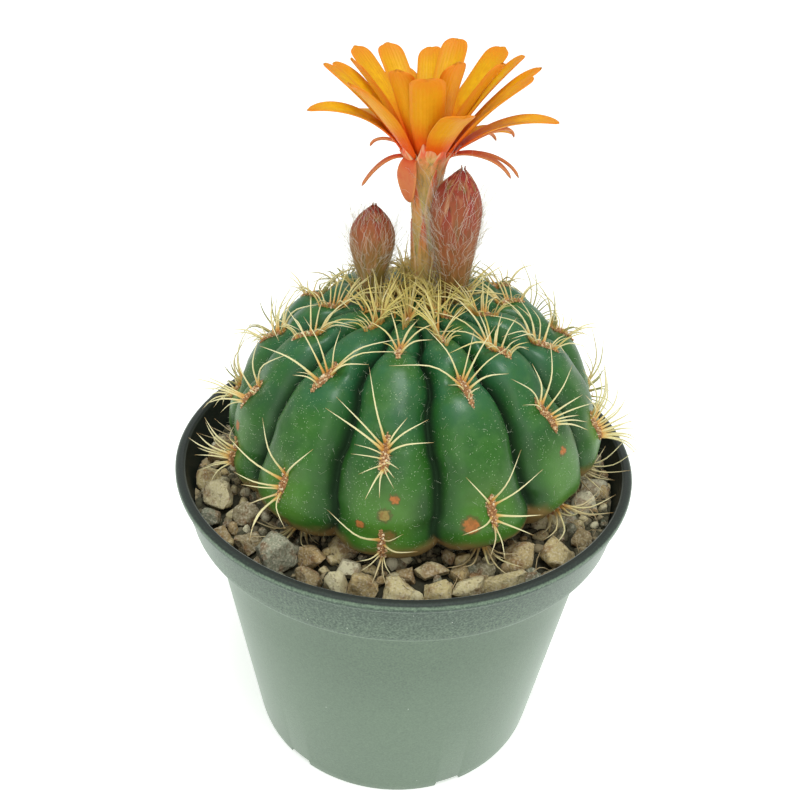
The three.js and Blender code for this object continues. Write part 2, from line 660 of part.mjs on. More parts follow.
// Blade: a thin lens-shaped leaf along a curved line, wide edges across, narrow through
function bladeSolid(blade) {
  const { root, outward, rise, length, width, curl, thickness, cup, tipShare } = blade;
  const { sides = 6, rows = 5 } = blade;
  const riseAngle = THREE.MathUtils.degToRad(rise);
  const side = new THREE.Vector3(0, 0, 1).cross(outward).normalize();
  const lineAt = (t) => {
    const arch = Math.sin(Math.PI * t) * curl * length;
    const along = t * length;
    const point = root.clone();
    point.addScaledVector(outward, Math.cos(riseAngle) * along - Math.sin(riseAngle) * arch);
    point.z += Math.sin(riseAngle) * along + Math.cos(riseAngle) * arch;
    return point;
  };
  const halfWidth = (t) => {
    const widening = THREE.MathUtils.smoothstep(t, 0, BLADE_FULL_SHARE);
    const opening = THREE.MathUtils.lerp(BLADE_FOOT_SHARE, 1, widening);
    const pastTip = Math.max(t - tipShare, 0) / (1 - tipShare);
    const closing = Math.sqrt(Math.max(1 - pastTip ** 2, 0));
    const heel = Math.min(t * BLADE_HEEL_STEEPNESS, 1);
    return (width / 2) * opening * closing * heel;
  };
  return wrapped(sides, rows, (t, angle) => {
    const spread = 1 - (1 - t) ** 1.5;
    const step = 0.02;
    const behind = lineAt(Math.max(spread - step, 0));
    const tangent = lineAt(Math.min(spread + step, 1)).sub(behind).normalize();
    const through = tangent.clone().cross(side).normalize();
    const half = halfWidth(spread);
    const across = Math.cos(angle) * half;
    const fade = Math.min(half / (width * BLADE_EDGE_SHARE), 1);
    const point = lineAt(spread);
    point.addScaledVector(side, across);
    point.addScaledVector(through, Math.sin(angle) * BLADE_LENS_SHARE * thickness * fade);
    point.addScaledVector(through, cup * (across / width) ** 2 * width);
    return point;
  });
}

// Flower
const tubeLine = new THREE.LineCurve3(TUBE_FOOT, TUBE_TOP);
const corollaAxis = TUBE_TOP.clone().sub(TUBE_FOOT).normalize();
const CORE_BASE = TUBE_TOP.clone().addScaledVector(corollaAxis, GAP);

// A round body along a line, closed at both ends
function stemSolid(line, radii, sides, rows, tipRadius) {
  return wrapped(sides, rows, (t, angle) => {
    const inner = THREE.MathUtils.clamp((t * rows - 1) / (rows - 2), 0, 1);
    const centre = line.getPoint(inner);
    const tangent = line.getTangent(inner);
    const side = new THREE.Vector3(0, 1, 0).cross(tangent).normalize();
    const front = tangent.clone().cross(side);
    const isEnd = t === 0 || t === 1;
    const radius = isEnd ? 0 : smoothValue(radii, inner);
    const lift = t === 1 ? tipRadius : 0;
    return centre.addScaledVector(side, Math.cos(angle) * radius)
      .addScaledVector(front, Math.sin(angle) * radius)
      .addScaledVector(tangent, lift);
  });
}

// A narrow pointed scale pressed to a stem, its foot at a share of the stem's length
function scaleSolid(line, radii, share, azimuth, length, width) {
  const outward = outwardAt(azimuth);
  const reach = Math.min(share + length / line.getLength(), 1);
  const footRadius = smoothValue(radii, share) - SCALE_FOOT_SINK;
  const tipRadius = smoothValue(radii, reach) + SCALE_TIP_LIFT;
  const foot = line.getPoint(share).addScaledVector(outward, footRadius);
  const tip = line.getPoint(reach).addScaledVector(outward, tipRadius);
  const run = tip.clone().sub(foot);
  const rise = THREE.MathUtils.radToDeg(Math.atan2(run.z, run.dot(outward)));
  return bladeSolid({
    root: foot, outward, rise, length: run.length(), width, curl: -0.02,
    thickness: SCALE_THICKNESS, cup: SCALE_CUP, tipShare: SCALE_TIP_SHARE, sides: 4, rows: 4,
  });
}

// Scales in turns of the golden angle, from one share of the stem's length to another
function scaleSolids(line, radii, { count, first, last, length, width }) {
  return Array.from({ length: count }, (_, i) => {
    const share = THREE.MathUtils.lerp(first, last, i / (count - 1));
    return scaleSolid(line, radii, share, i * GOLDEN_ANGLE, length, width);
  });
}

function buildTube(keepOut) {
  const stem = stemSolid(tubeLine, TUBE_RADII, STEM_SIDES, TUBE_ROWS, 0);
  const scales = scaleSolids(tubeLine, TUBE_RADII, TUBE_SCALES);
  const { share, azimuth, length, width } = FRONT_SCALE;
  scales.push(scaleSolid(tubeLine, TUBE_RADII, share, azimuth, length, width));
  const sepalRing = { radius: SEPAL_RING_RADIUS, z: TUBE_TOP.z - SEPAL_DROP };
  const sepals = SEPALS.map((sepal) => petalSolid(sepal, sepalRing, SEPAL_TIP_SHARE));
  return fuse([stem, ...scales, ...sepals]).subtract(keepOut);
}

// A petal from its root on a ring under the corolla's centre to its tip
function petalSolid([azimuth, tipRise, distance, width, curl], ring, tipShare) {
  const outward = outwardAt(azimuth);
  const tipAngle = THREE.MathUtils.degToRad(tipRise);
  const root = CORE_BASE.clone().setZ(ring.z).addScaledVector(outward, ring.radius);
  const tip = COROLLA_CENTRE.clone().addScaledVector(outward, Math.cos(tipAngle) * distance);
  tip.z += Math.sin(tipAngle) * distance;
  const run = tip.clone().sub(root);
  const rise = THREE.MathUtils.radToDeg(Math.atan2(run.z, run.dot(outward)));
  return bladeSolid({
    root, outward, rise, length: run.length(), width, curl,
    thickness: PETAL_THICKNESS, cup: PETAL_CUP, tipShare,
  });
}

// The cup that carries the petals
function coreSolid() {
  const core = lathe([
    [0, 0],
    [CORE_RADIUS - CORE_FLARE, 0],
    [CORE_RADIUS, CORE_HEIGHT / 2],
    [CORE_RADIUS + CORE_FLARE, CORE_HEIGHT],
    [CORE_RADIUS - CORE_FLARE, CORE_HEIGHT],
    [CORE_RADIUS - CORE_WALL, CORE_HEIGHT / 2],
    [0, CORE_HEIGHT * CORE_FLOOR_SHARE],
  ], STEM_SIDES);
  return core.translate(CORE_BASE.x, CORE_BASE.y, CORE_BASE.z);
}

function buildCorolla() {
  const ringAt = (rise) => ({ radius: PETAL_RING_RADIUS, z: CORE_BASE.z + rise });
  const layer = (petals, rise, tipShare) => (
    petals.map((petal) => petalSolid(petal, ringAt(rise), tipShare))
  );
  return fuse([
    coreSolid(),
    ...layer(INNER_PETALS, INNER_PETAL_RISE, INNER_TIP_SHARE),
    ...layer(OUTER_PETALS, OUTER_PETAL_RISE, OUTER_TIP_SHARE),
    ...layer(SPREAD_PETALS, SPREAD_PETAL_RISE, SPREAD_TIP_SHARE),
  ]);
}

// Stamens and the style stand on a small disc in the corolla's throat
function buildStamens() {
  const discBottom = CORE_HEIGHT / 2 + GAP;
  const disc = lathe([
    [0, discBottom],
    [DISC_RADIUS, discBottom],
    [DISC_RADIUS, discBottom + DISC_HEIGHT],
    [0, discBottom + DISC_HEIGHT],
  ], STEM_SIDES).translate(CORE_BASE.x, CORE_BASE.y, CORE_BASE.z);
  const foot = CORE_BASE.clone();
  foot.z += discBottom + DISC_HEIGHT / 2;
  const needles = [];
  const addNeedle = (azimuth, footRadius, tilt, length, thickness) => {
    const outward = outwardAt(azimuth);
    const root = foot.clone().addScaledVector(outward, footRadius);
    const tip = root.clone().addScaledVector(outward, Math.sin(tilt) * length);
    tip.z += Math.cos(tilt) * length;
    needles.push(filamentSolid(root, tip, thickness));
  };
  for (let i = 0; i < STAMENS; i += 1) {
    const tilt = STAMEN_TILT * (1 + (i % 3));
    addNeedle((360 / STAMENS) * i, STAMEN_RING_RADIUS, tilt, STAMEN_LENGTH, STAMEN_RADIUS);
  }
  addNeedle(0, 0, 0, STYLE_LENGTH, STYLE_RADIUS);
  const top = foot.clone();
  top.z += STYLE_LENGTH - STYLE_RADIUS;
  for (let i = 0; i < STIGMA_LOBES; i += 1) {
    const tip = outwardAt((360 / STIGMA_LOBES) * i).multiplyScalar(STIGMA_SPREAD).add(top);
    tip.z += STIGMA_RISE;
    needles.push(filamentSolid(top, tip, STIGMA_LOBE_RADIUS));
  }
  return fuse([disc, ...needles]);
}

// A thread that ends in a slightly wider head
function filamentSolid(root, tip, radius) {
  const headSwell = 1.3;
  const run = tip.clone().sub(root);
  const geometry = new THREE.CylinderGeometry(radius * headSwell, radius, run.length(), 3);
  geometry.translate(0, run.length() / 2, 0);
  const up = new THREE.Vector3(0, 1, 0);
  geometry.applyQuaternion(new THREE.Quaternion().setFromUnitVectors(up, run.normalize()));
  geometry.translate(root.x, root.y, root.z);
  return toSolid(geometry);
}

function buildBud(linePoints, radii, scaleRule, keepOut) {
  const line = new THREE.CatmullRomCurve3(linePoints.map((point) => new THREE.Vector3(...point)));
  const bud = stemSolid(line, radii, STEM_SIDES, BUD_ROWS, BUD_TIP_LENGTH);
  const scales = scaleSolids(line, radii, scaleRule);
  return fuse([bud, ...scales]).subtract(keepOut);
}

// Assembly
const bodySurround = bodySolid(GAP);
const frames = areoleFrames();
const rootLean = BODY_CENTRE.z - (SOIL_TOP + ROOT_END_Z) / 2;
const rootHole = bodySurround.add(uprightCylinder(
  ROOT_RADIUS + ROOT_HOLE_MARGIN,
  SOIL_TOP - ROOT_END_Z + ROOT_HOLE_MARGIN * 2,
  BODY_CENTRE.x - BODY_LEAN_X * rootLean,
  BODY_CENTRE.y - BODY_LEAN_Y * rootLean,
  (SOIL_TOP + ROOT_END_Z) / 2,
  STEM_SIDES,
));
const cactus = buildBody(frames);

const group = new THREE.Group();

function addPiece(name, solid, color, roughness) {
  const material = new THREE.MeshStandardMaterial({ color, roughness, metalness: 0 });
  const mesh = new THREE.Mesh(toGeometry(solid), material);
  mesh.name = name;
  group.add(mesh);
}

addPiece('pot', buildPot(), 0x4c564f, 0.6);
addPiece('soil', potRoom(FLOOR_TOP + GAP, SOIL_TOP).subtract(rootHole), 0x3b3129, 0.95);
addPiece('gravel', buildGravel(rootHole), 0xb39b7c, 0.9);
addPiece('cactus_body', cactus, 0x2f7d43, 0.45);
addPiece('flower_tube', buildTube(bodySurround), 0xd0793f, 0.6);
addPiece('flower_petals', buildCorolla(), 0xf79a1e, 0.5);
addPiece('flower_stamens', buildStamens(), 0xe8d98a, 0.6);
const largeBud = buildBud(LARGE_BUD_LINE, LARGE_BUD_RADII, LARGE_BUD_SCALES, bodySurround);
const smallBud = buildBud(SMALL_BUD_LINE, SMALL_BUD_RADII, SMALL_BUD_SCALES, bodySurround);
addPiece('bud_large', largeBud, 0xb0604f, 0.6);
addPiece('bud_small', smallBud, 0x9a6152, 0.65);

export default group;
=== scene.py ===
import math
from itertools import product

import bmesh
import bpy
import numpy as np
from bpy.props import FloatProperty, FloatVectorProperty, IntProperty, PointerProperty
from mathutils import Matrix, Vector


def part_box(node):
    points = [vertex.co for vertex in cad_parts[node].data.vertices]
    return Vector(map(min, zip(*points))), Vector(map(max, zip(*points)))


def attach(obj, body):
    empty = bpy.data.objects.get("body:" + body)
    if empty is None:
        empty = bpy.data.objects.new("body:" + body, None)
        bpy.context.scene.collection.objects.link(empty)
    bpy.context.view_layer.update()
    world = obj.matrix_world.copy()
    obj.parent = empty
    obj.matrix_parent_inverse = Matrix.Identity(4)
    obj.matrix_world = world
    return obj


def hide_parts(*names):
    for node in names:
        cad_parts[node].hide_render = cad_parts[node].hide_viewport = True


bl_info = {
    "name": "Potted Round Cactus",
    "version": (1, 0, 0),
    "blender": (4, 5, 0),
    "location": "3D View > Sidebar > Cactus",
    "description": "Dresses the packed model of a round cactus in bloom in its pot",
    "category": "Object",
}

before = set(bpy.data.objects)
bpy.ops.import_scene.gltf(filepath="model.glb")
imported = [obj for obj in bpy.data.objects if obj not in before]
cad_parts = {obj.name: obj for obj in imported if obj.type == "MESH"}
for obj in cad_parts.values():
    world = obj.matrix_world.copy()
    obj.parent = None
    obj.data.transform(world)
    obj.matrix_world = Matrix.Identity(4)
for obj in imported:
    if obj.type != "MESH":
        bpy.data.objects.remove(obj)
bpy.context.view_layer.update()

# Shapes are worked out in millimetres and become metres when a mesh is made
MM = 0.001
POT_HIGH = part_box("pot")[1] / MM
POT_HEIGHT = POT_HIGH.z
RIM_RADIUS = POT_HIGH.x

# Pot, as in the frame
LIP_WIDTH = 2.5
LIP_DEPTH = 2.0
WALL = 1.5
FLOOR = 1.6
BASE_RADIUS = 42.7
WAIST_RADIUS = 52.7
COLLAR_RADIUS = 57.1
COLLAR_Z = 75.1
COLLAR_WALL = 1.3
LEDGE_LIFT = 0.6
LEDGE_RISE = 1.2
FOOT_HEIGHT = 2.2
FOOT_WIDTH = 3.2
FOOT_NOTCHES = 6
NOTCH_WIDTH = 7.0
FIRST_NOTCH_AZIMUTH = 22.0
DRAIN_HOLES = 6
DRAIN_RADIUS = 4.0
DRAIN_RING_RADIUS = 31.0
POT_SIDES = 192
DRAIN_SIDES = 32
# Heights of the painted highlight lines along the pot's edges
COLLAR_HIGHLIGHT_Z = 75.3
LIP_HIGHLIGHT_Z = 88.45

# Gravel bed
BED_TOP = 79.0
BED_BOTTOM = 77.5
BED_INNER_RADIUS = 12.0
BED_RADIUS = RIM_RADIUS - LIP_WIDTH - 1.6

# Body, as in the frame: the ridge's outline from the root's end to the crown
BODY_CENTRE = np.array([2.4, 4.75, 91.8])
BODY_LEAN = np.array([-0.05, -0.04])
RIDGE_OUTLINE = [
    (0, 63), (4.5, 64.5), (7, 71), (8, 77.5), (14, 80), (26, 80.8), (37, 83), (44.2, 86.6),
    (48.1, 90.6), (49.1, 94.2), (48.6, 98), (46.9, 103.8), (43.9, 110.2), (39.8, 116),
    (34.6, 121.2), (28.3, 125.4), (20.9, 128), (12.1, 128.9), (5, 128.1), (0, 127.7),
]
CREASE_DEPTH = 5.9
CREASE_SHARPNESS = 4.2
CREASE_WAVE = 0.07
# Where a crease deepens, halves and ends, from the crown's centre down
CREASE_OPENS = (2, 24)
CREASE_HALVES = (50, 76)
CREASE_ENDS = (80, 92)
# The notch above an areole and the bulge below it: depth, place and half width
NOTCH = (1.2, -2.4, 2.8)
BULGE = (0.6, 5.5, 5)

# Each rib's azimuth, and its areoles as distances from the crown's centre down the ridge
RIBS = [
    (-91, (20, 38, 58, 79)), (-69, (9, 27, 48, 66)), (-39, (14.5, 33, 60, 80)),
    (-8, (9, 21.5, 47, 69)), (22, (18, 33, 62, 80)), (49, (10, 27, 46, 75)),
    (74, (18, 34, 61, 79)), (102, (9, 25, 43, 67)), (130, (15, 31, 53, 76)),
    (157, (10, 22, 44, 70)), (185, (16, 30, 51, 74)), (213, (9, 24, 41, 64)),
    (241, (15, 31, 54, 77)),
]
COLUMNS_PER_RIB = 24
BODY_ROWS = 160
PAD_HALF_LENGTH = 4.5
PAD_HALF_WIDTH = 1.0
PAD_HEIGHT = 0.7
# How far from the pot's axis a spine goes: over the rim, and inside the wall
SPINE_REACH = 60.0
WALL_REACH = 54.6
# Spines added to an areole near the crown, and spines that crowd round its centre
EXTRA_SPINES = 9
CROWN_SPINES = 85
CROWN_RINGS = [3.5, 8.0, 12.5]

# A healthy areole's spines: angle round the areole from the crown's side, length and tilt
# from the surface's normal
SPINE_PATTERN = [
    (-27, 16, 62), (24, 9, 38), (-58, 14, 66), (56, 11, 62), (-72, 14.5, 70), (77, 11, 68),
    (-90, 6.5, 66), (-106, 7, 70), (118, 6, 66), (-134, 6.5, 68), (146, 6.5, 70),
    (-166, 9.5, 66), (178, 8.5, 60), (4, 13, 44), (40, 12, 54), (97, 10, 60),
]

# Flower and buds, as in the frame
TUBE_LINE = [(3.3, 13, 124.5), (2.2, 11.1, 161)]
TUBE_RADII = [3.3, 3, 3, 3.3, 4.3]
CUP_HEIGHT = 2.4
CUP_RADIUS = 5.0
COROLLA_CENTRE = np.array([2.0, 11.0, 166.5])
SEPAL_RING_RADIUS = 4.6
SEPAL_RING_Z = 163.0
PETAL_FULLNESS = 1.14
GAP = 0.3

# Each petal's tip from the corolla's centre: azimuth, rise, distance, then width and arch
INNER_PETALS = [
    (-2, 41, 27.5, 6.8, 0.03), (-20, 44, 27.5, 5.4, 0.04), (17, 49, 27.5, 5.4, 0.04),
    (62, 48, 26, 5.2, 0.05), (103, 41, 28.5, 5.4, 0.06), (122, 44, 28, 6.2, 0.06),
    (161, 44, 28, 5.8, 0.05), (179, 37, 28, 5.4, 0.06), (-151, 40, 28, 5.8, 0.06),
    (-127, 39, 28.5, 5.2, 0.06), (-70, 46, 26, 5.4, 0.05),
]
OUTER_PETALS = [
    (20, 27, 24, 6.8, 0.1), (71, 35, 28.5, 5.2, 0.06), (91, 35, 30, 5, 0.07),
    (142, 30, 27, 5.2, 0.1), (168, 26, 27, 5.4, 0.1), (-165, 27, 27, 5.4, 0.1),
    (-115, 31, 28.5, 5, 0.08), (-94, 34, 28.6, 4.8, 0.06), (-46, 34, 28, 5.8, 0.06),
]
SPREAD_PETALS = [
    (84, 12, 30.4, 6.4, 0.2), (-84, 14, 28.2, 5.0, 0.3), (-139, 4, 27, 4.4, 0.18),
    (127, -3, 27, 4.4, 0.2),
]
# Each layer's petals, the radius and height of its ring in the cup, and its blades' form
PETAL_LAYERS = [
    (INNER_PETALS, 3.2, 1.6, {"tip_share": 0.84, "blunt": 2.8, "ragged": 0.01}),
    (OUTER_PETALS, 4.1, 1.2, {"tip_share": 0.76, "blunt": 2.3, "ragged": 0.009}),
    (SPREAD_PETALS, 4.6, 1.0, {"tip_share": 0.6, "blunt": 2.0, "ragged": 0.006}),
]
# Each sepal's tip and form as above, then the rises at which it leaves and ends
SEPALS = [
    (86, -20, 21.6, 4.4, 0.2, 36, -62), (95, -20, 24, 1.0, 0.24, 30, -66),
    (132, -8, 24, 2.6, 0.22, 24, -60), (178, -24, 19, 3.6, 0.22, 20, -64),
    (-125, -14, 17, 1.0, 0.24, 46, -70), (-88, -36, 18.4, 3.4, 0.22, 12, -60),
    (-42, -69, 14.2, 6.4, 0.2, 44, -106), (108, 0, 22, 2.6, 0.2, 26, -80),
]
LARGE_BUD_LINE = [(10.9, 7.8, 123.5), (10.3, 6.2, 136), (9.6, 4, 151), (10.3, 3.6, 161.2)]
LARGE_BUD_RADII = [3.1, 3.2, 3.4, 4.0, 4.9, 5.7, 5.6, 4.2, 1.9]
SMALL_BUD_LINE = [(-9.8, 7.2, 123.5), (-10, 7.6, 133), (-10, 8, 143.5), (-9.7, 8, 150.8)]
SMALL_BUD_RADII = [2.5, 2.5, 2.6, 3.3, 4.4, 5.2, 5.0, 3.5, 1.5]
# How many scales and inner parts there are, their lengths, and the turn between tip scales
BUD_SCALES = 18
BUD_SCALE_LENGTH = 21
BUD_TIP_SCALES = 9
BUD_TIP_TURN = 43
STAMENS = 64
STYLE_LENGTH = 10.6
STIGMA_LOBES = 8
# The turn from one piece of a spiral to the next, in degrees
GOLDEN_ANGLE = 137.5

# Rings and sides of the meshes of petals, scales and stems
BLADE_ROWS = 30
BLADE_SIDES = 20
SCALE_ROWS = 20
SCALE_SIDES = 18
STEM_SIDES = 48

# Camera, and half the floor's side in metres
CAMERA_ELEVATION = 31.9
CAMERA_DISTANCE = 223.7
CAMERA_ROLL = 2.31
CAMERA_TARGET = (-1.7, 0, 102.7)
FLOOR_HALF = 6.0


def paint(red, green, blue):
    """A screen colour of 0 to 255 a channel as Blender's linear colour."""
    shares = (red / 255, green / 255, blue / 255)
    return tuple(
        share / 12.92 if share <= 0.04045 else ((share + 0.055) / 1.055) ** 2.4
        for share in shares
    )


def dim(colour, share):
    """A share of a linear colour's light."""
    return tuple(share * channel for channel in colour)


def colour_setting(name, part, colour):
    return FloatVectorProperty(
        name=name, description="Colour of " + part, subtype="COLOR", size=3, min=0, max=1,
        default=paint(*colour),
    )


def length_setting(name, description, millimetres):
    return FloatProperty(
        name=name, description=description, default=millimetres * MM, min=0,
        subtype="DISTANCE", unit="LENGTH", precision=5,
    )


class PotSettings(bpy.types.PropertyGroup):
    """The pot's looks."""

    plastic: colour_setting("Plastic", "the moulded plastic", (48, 68, 56))
    # This pale colour is the plastic's dust, and it also paints the floor's reflection on the
    # lower wall and the highlight lines on the edges
    dust_and_sheen: colour_setting("Dust", "the dry dust on the plastic", (142, 166, 138))
    # The shade colour is the lip top's dark plastic, and on the inner wall it is painted shade
    dark: colour_setting("Shade", "the lip and the inside", (22, 31, 27))


class GravelSettings(bpy.types.PropertyGroup):
    """The gravel's looks and sizes."""

    grit: colour_setting("Grit", "the dark grit between the stones", (90, 88, 68))
    smallest: length_setting("Smallest grit", "Smallest grain", 1.3)
    largest: length_setting("Largest grit", "Largest grain", 3.6)
    seed: IntProperty(name="Seed", description="Which random layout the stones have", default=5)


class SkinSettings(bpy.types.PropertyGroup):
    """The cactus skin's colours."""

    green: colour_setting("Green", "the ribs' flanks", (42, 98, 16))
    # The crease colour is painted shade in the creases between the ribs
    crease: colour_setting("Crease", "the creases between two ribs", (12, 40, 14))
    # This bluish tone is partly the skin's own waxy film and partly a painted reflection of the
    # cool overhead light
    blue: colour_setting("Blue bloom", "the bluish film on the upper parts", (40, 106, 70))
    fresh: colour_setting("Fresh green", "the lower bulges", (92, 146, 44))
    cork: colour_setting("Cork", "the oldest, corky skin", (140, 112, 64))


class SpineSettings(bpy.types.PropertyGroup):
    """The spines' sizes and colours."""

    radius: length_setting("Radius", "Radius of a spine at its foot", 0.25)
    straw: colour_setting("Straw", "a spine's middle", (228, 218, 160))
    young: colour_setting("Young", "the crown's young spines", (214, 196, 92))
    foot: colour_setting("Foot", "a spine's foot", (212, 152, 70))
    seed: IntProperty(name="Seed", description="Which random spread the spines have", default=11)


class FlowerSettings(bpy.types.PropertyGroup):
    """The open flower's colours."""

    heart: colour_setting("Heart", "the flower's depth", (222, 76, 8))
    amber: colour_setting("Amber", "a petal's middle", (220, 166, 2))
    edge: colour_setting("Edge", "a petal's edge and tip", (226, 130, 30))
    coral: colour_setting("Coral", "the sepals and the petals' backs", (222, 92, 48))
    thickness: length_setting("Thickness", "Thickness of a petal", 0.6)


class BudSettings(bpy.types.PropertyGroup):
    """The buds' colours and hairs."""

    red: colour_setting("Red", "the upper scales", (146, 38, 38))
    tan: colour_setting("Tan", "the lower scales", (156, 92, 54))
    olive: colour_setting("Olive", "the stem and the scales' midribs", (130, 116, 58))
    pale: colour_setting("Pale", "the scales' dry edges", (188, 138, 98))
    hair_length: length_setting("Hair length", "Length of the silky hairs", 8.0)


class StageSettings(bpy.types.PropertyGroup):
    """The floor, the lights and the camera."""

    lens: FloatProperty(name="Lens", description="Focal length", default=38.7, min=1)
    floor: colour_setting("Floor", "the plain floor", (244, 246, 243))
    lamp: FloatProperty(name="Lamp", description="Power of the large lamp", default=9.0,
                        subtype="POWER", unit="POWER")


def smooth_step(values, low, high):
    share = np.clip((np.asarray(values, float) - low) / (high - low), 0, 1)
    return share * share * (3 - 2 * share)


def unit(vectors):
    vectors = np.asarray(vectors, float)
    return vectors / np.maximum(np.linalg.norm(vectors, axis=-1, keepdims=True), 1e-9)


def outward_at(azimuth):
    angle = np.radians(azimuth)
    return np.stack([np.sin(angle), -np.cos(angle), np.zeros_like(angle)], axis=-1)


def azimuths(count):
    """Even turns round a ring, in degrees."""
    return np.linspace(0, 360, count, endpoint=False)


def from_axis(points, x=0.0, y=0.0):
    """How far points are from an upright axis."""
    return np.hypot(points[..., 0] - x, points[..., 1] - y)


def lathe(profile, azimuth):
    """An outline of (radius, height) turned round the upright axis, as rings."""
    radius, height = np.array(profile, float).T
    rings = outward_at(azimuth)[None] * radius[:, None, None]
    rings[..., 2] = height[:, None]
    return rings


def smooth_curve(points, shares):
    """Points on a Catmull-Rom curve through the points, at shares of it from 0 to 1."""
    points = np.asarray(points, float).reshape(len(points), -1)
    shares = np.atleast_1d(np.asarray(shares, float))
    padded = np.vstack([points[:1], points, points[-1:]])
    scaled = np.clip(shares, 0, 1) * (len(points) - 1)
    first = np.minimum(scaled.astype(int), len(points) - 2)
    part = (scaled - first)[:, None]
    before, start, end, after = (padded[first + step] for step in range(4))
    leave = (end - before) / 2
    arrive = (after - start) / 2
    cubic = 2 * start - 2 * end + leave + arrive
    square = 3 * end - 3 * start - 2 * leave - arrive
    return ((cubic * part + square) * part + leave) * part + start


def ripple(points, size, seed):
    """Smooth noise from -1 to 1 whose swells are about the given size, from summed waves."""
    random = np.random.default_rng(seed)
    total = np.zeros(np.shape(points)[:-1])
    waves = 7
    for _ in range(waves):
        direction = unit(random.normal(size=3)) * random.uniform(0.7, 1.5)
        total += np.sin(points @ direction * (2 * math.pi / size) + random.uniform(0, 6.28))
    return total / waves ** 0.5 / 1.4


def grid_faces(rows, columns, closed=True):
    """Quads of a grid of points, wrapped round its columns where it is closed."""
    spans = columns if closed else columns - 1
    faces = []
    for row, column in product(range(rows - 1), range(spans)):
        beside = (column + 1) % columns
        here = row * columns
        faces.append((here + column, here + beside, here + columns + beside,
                      here + columns + column))
    return faces


def store(mesh, label, values):
    """Stores one value for each point of a mesh."""
    layer = mesh.attributes.get(label) or mesh.attributes.new(label, "FLOAT", "POINT")
    layer.data.foreach_set("value", np.asarray(values, np.float32))


def places_of(mesh):
    """A mesh's points, in metres."""
    places = np.zeros(len(mesh.vertices) * 3)
    mesh.vertices.foreach_get("co", places)
    return places.reshape(-1, 3)


class Shape:
    """Collects closed grids of points into one mesh, with values at its points."""

    def __init__(self):
        self.points = []
        self.faces = []
        self.values = {}
        self.count = 0

    def add(self, points, faces, **values):
        points = np.asarray(points, float).reshape(-1, 3)
        self.points.append(points)
        self.faces += [tuple(corner + self.count for corner in face) for face in faces]
        for label, value in values.items():
            spread = np.broadcast_to(np.asarray(value, float).ravel(), len(points))
            self.values.setdefault(label, []).append(spread)
        self.count += len(points)

    def add_tube(self, rows, **values):
        """Adds a grid of rings, shape (rows, columns, 3), closed at both ends by a face."""
        count, columns = rows.shape[:2]
        last = (count - 1) * columns
        caps = [tuple(reversed(range(columns))), tuple(last + i for i in range(columns))]
        self.add(rows, grid_faces(count, columns) + caps, **values)

    def make(self, name, material=None):
        mesh = bpy.data.meshes.new(name)
        mesh.from_pydata((np.vstack(self.points) * MM).tolist(), [], self.faces)
        for label, parts in self.values.items():
            store(mesh, label, np.concatenate(parts))
        turn_outward(mesh)
        mesh.shade_smooth()
        return add_object(name, mesh, material)


def turn_outward(mesh):
    """Makes every closed shell's faces point out of it."""
    work = bmesh.new()
    work.from_mesh(mesh)
    bmesh.ops.recalc_face_normals(work, faces=work.faces)
    work.to_mesh(mesh)
    work.free()


def add_object(name, data, material=None):
    piece = bpy.data.objects.new(name, data)
    bpy.context.scene.collection.objects.link(piece)
    if material is not None:
        data.materials.append(material)
    return piece


def add_guides(name, guides):
    """Open lines for needles to follow, each with its thickness and, on a spine, its age."""
    lines, *values = zip(*guides)
    lengths = [len(line) for line in lines]
    starts = np.cumsum([0, *lengths[:-1]]).tolist()
    edges = [
        (start + i, start + i + 1)
        for start, length in zip(starts, lengths) for i in range(length - 1)
    ]
    mesh = bpy.data.meshes.new(name)
    mesh.from_pydata((np.vstack(lines) * MM).tolist(), edges, [])
    for label, value in zip(("thick", "age"), values):
        store(mesh, label, np.repeat(value, lengths))
    return add_object(name, mesh)


def dress(piece, slot, *nodes):
    """Sets a piece on the object's root body and hides the frame's parts that it stands for. Its
    finish, slot, is not used.
    """
    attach(piece, "root")
    if nodes:
        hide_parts(*nodes)
    return piece


class Wire:
    """A node's socket that Python's operators work on, adding a Math node each time."""

    def __init__(self, graph, socket):
        self.graph = graph
        self.socket = socket

    def math(self, operation, first, second=0.0):
        return self.graph.add("ShaderNodeMath", {"operation": operation},
                              {0: first, 1: second})

    def __add__(self, other):
        return self.math("ADD", self, other)

    def __sub__(self, other):
        return self.math("SUBTRACT", self, other)

    def __rsub__(self, other):
        return self.math("SUBTRACT", other, self)

    def __mul__(self, other):
        return self.math("MULTIPLY", self, other)

    def __pow__(self, other):
        return self.math("POWER", self, other)

    __radd__ = __add__
    __rmul__ = __mul__

    def size(self):
        return self.math("ABSOLUTE", self)

    def sine(self):
        return self.math("SINE", self)

    def step(self, low, high):
        """0 below low and 1 above high, and the other way round where low is the higher."""
        return self.graph.add("ShaderNodeMapRange", {"interpolation_type": "SMOOTHSTEP"},
                              {"Value": self, "From Min": low, "From Max": high})


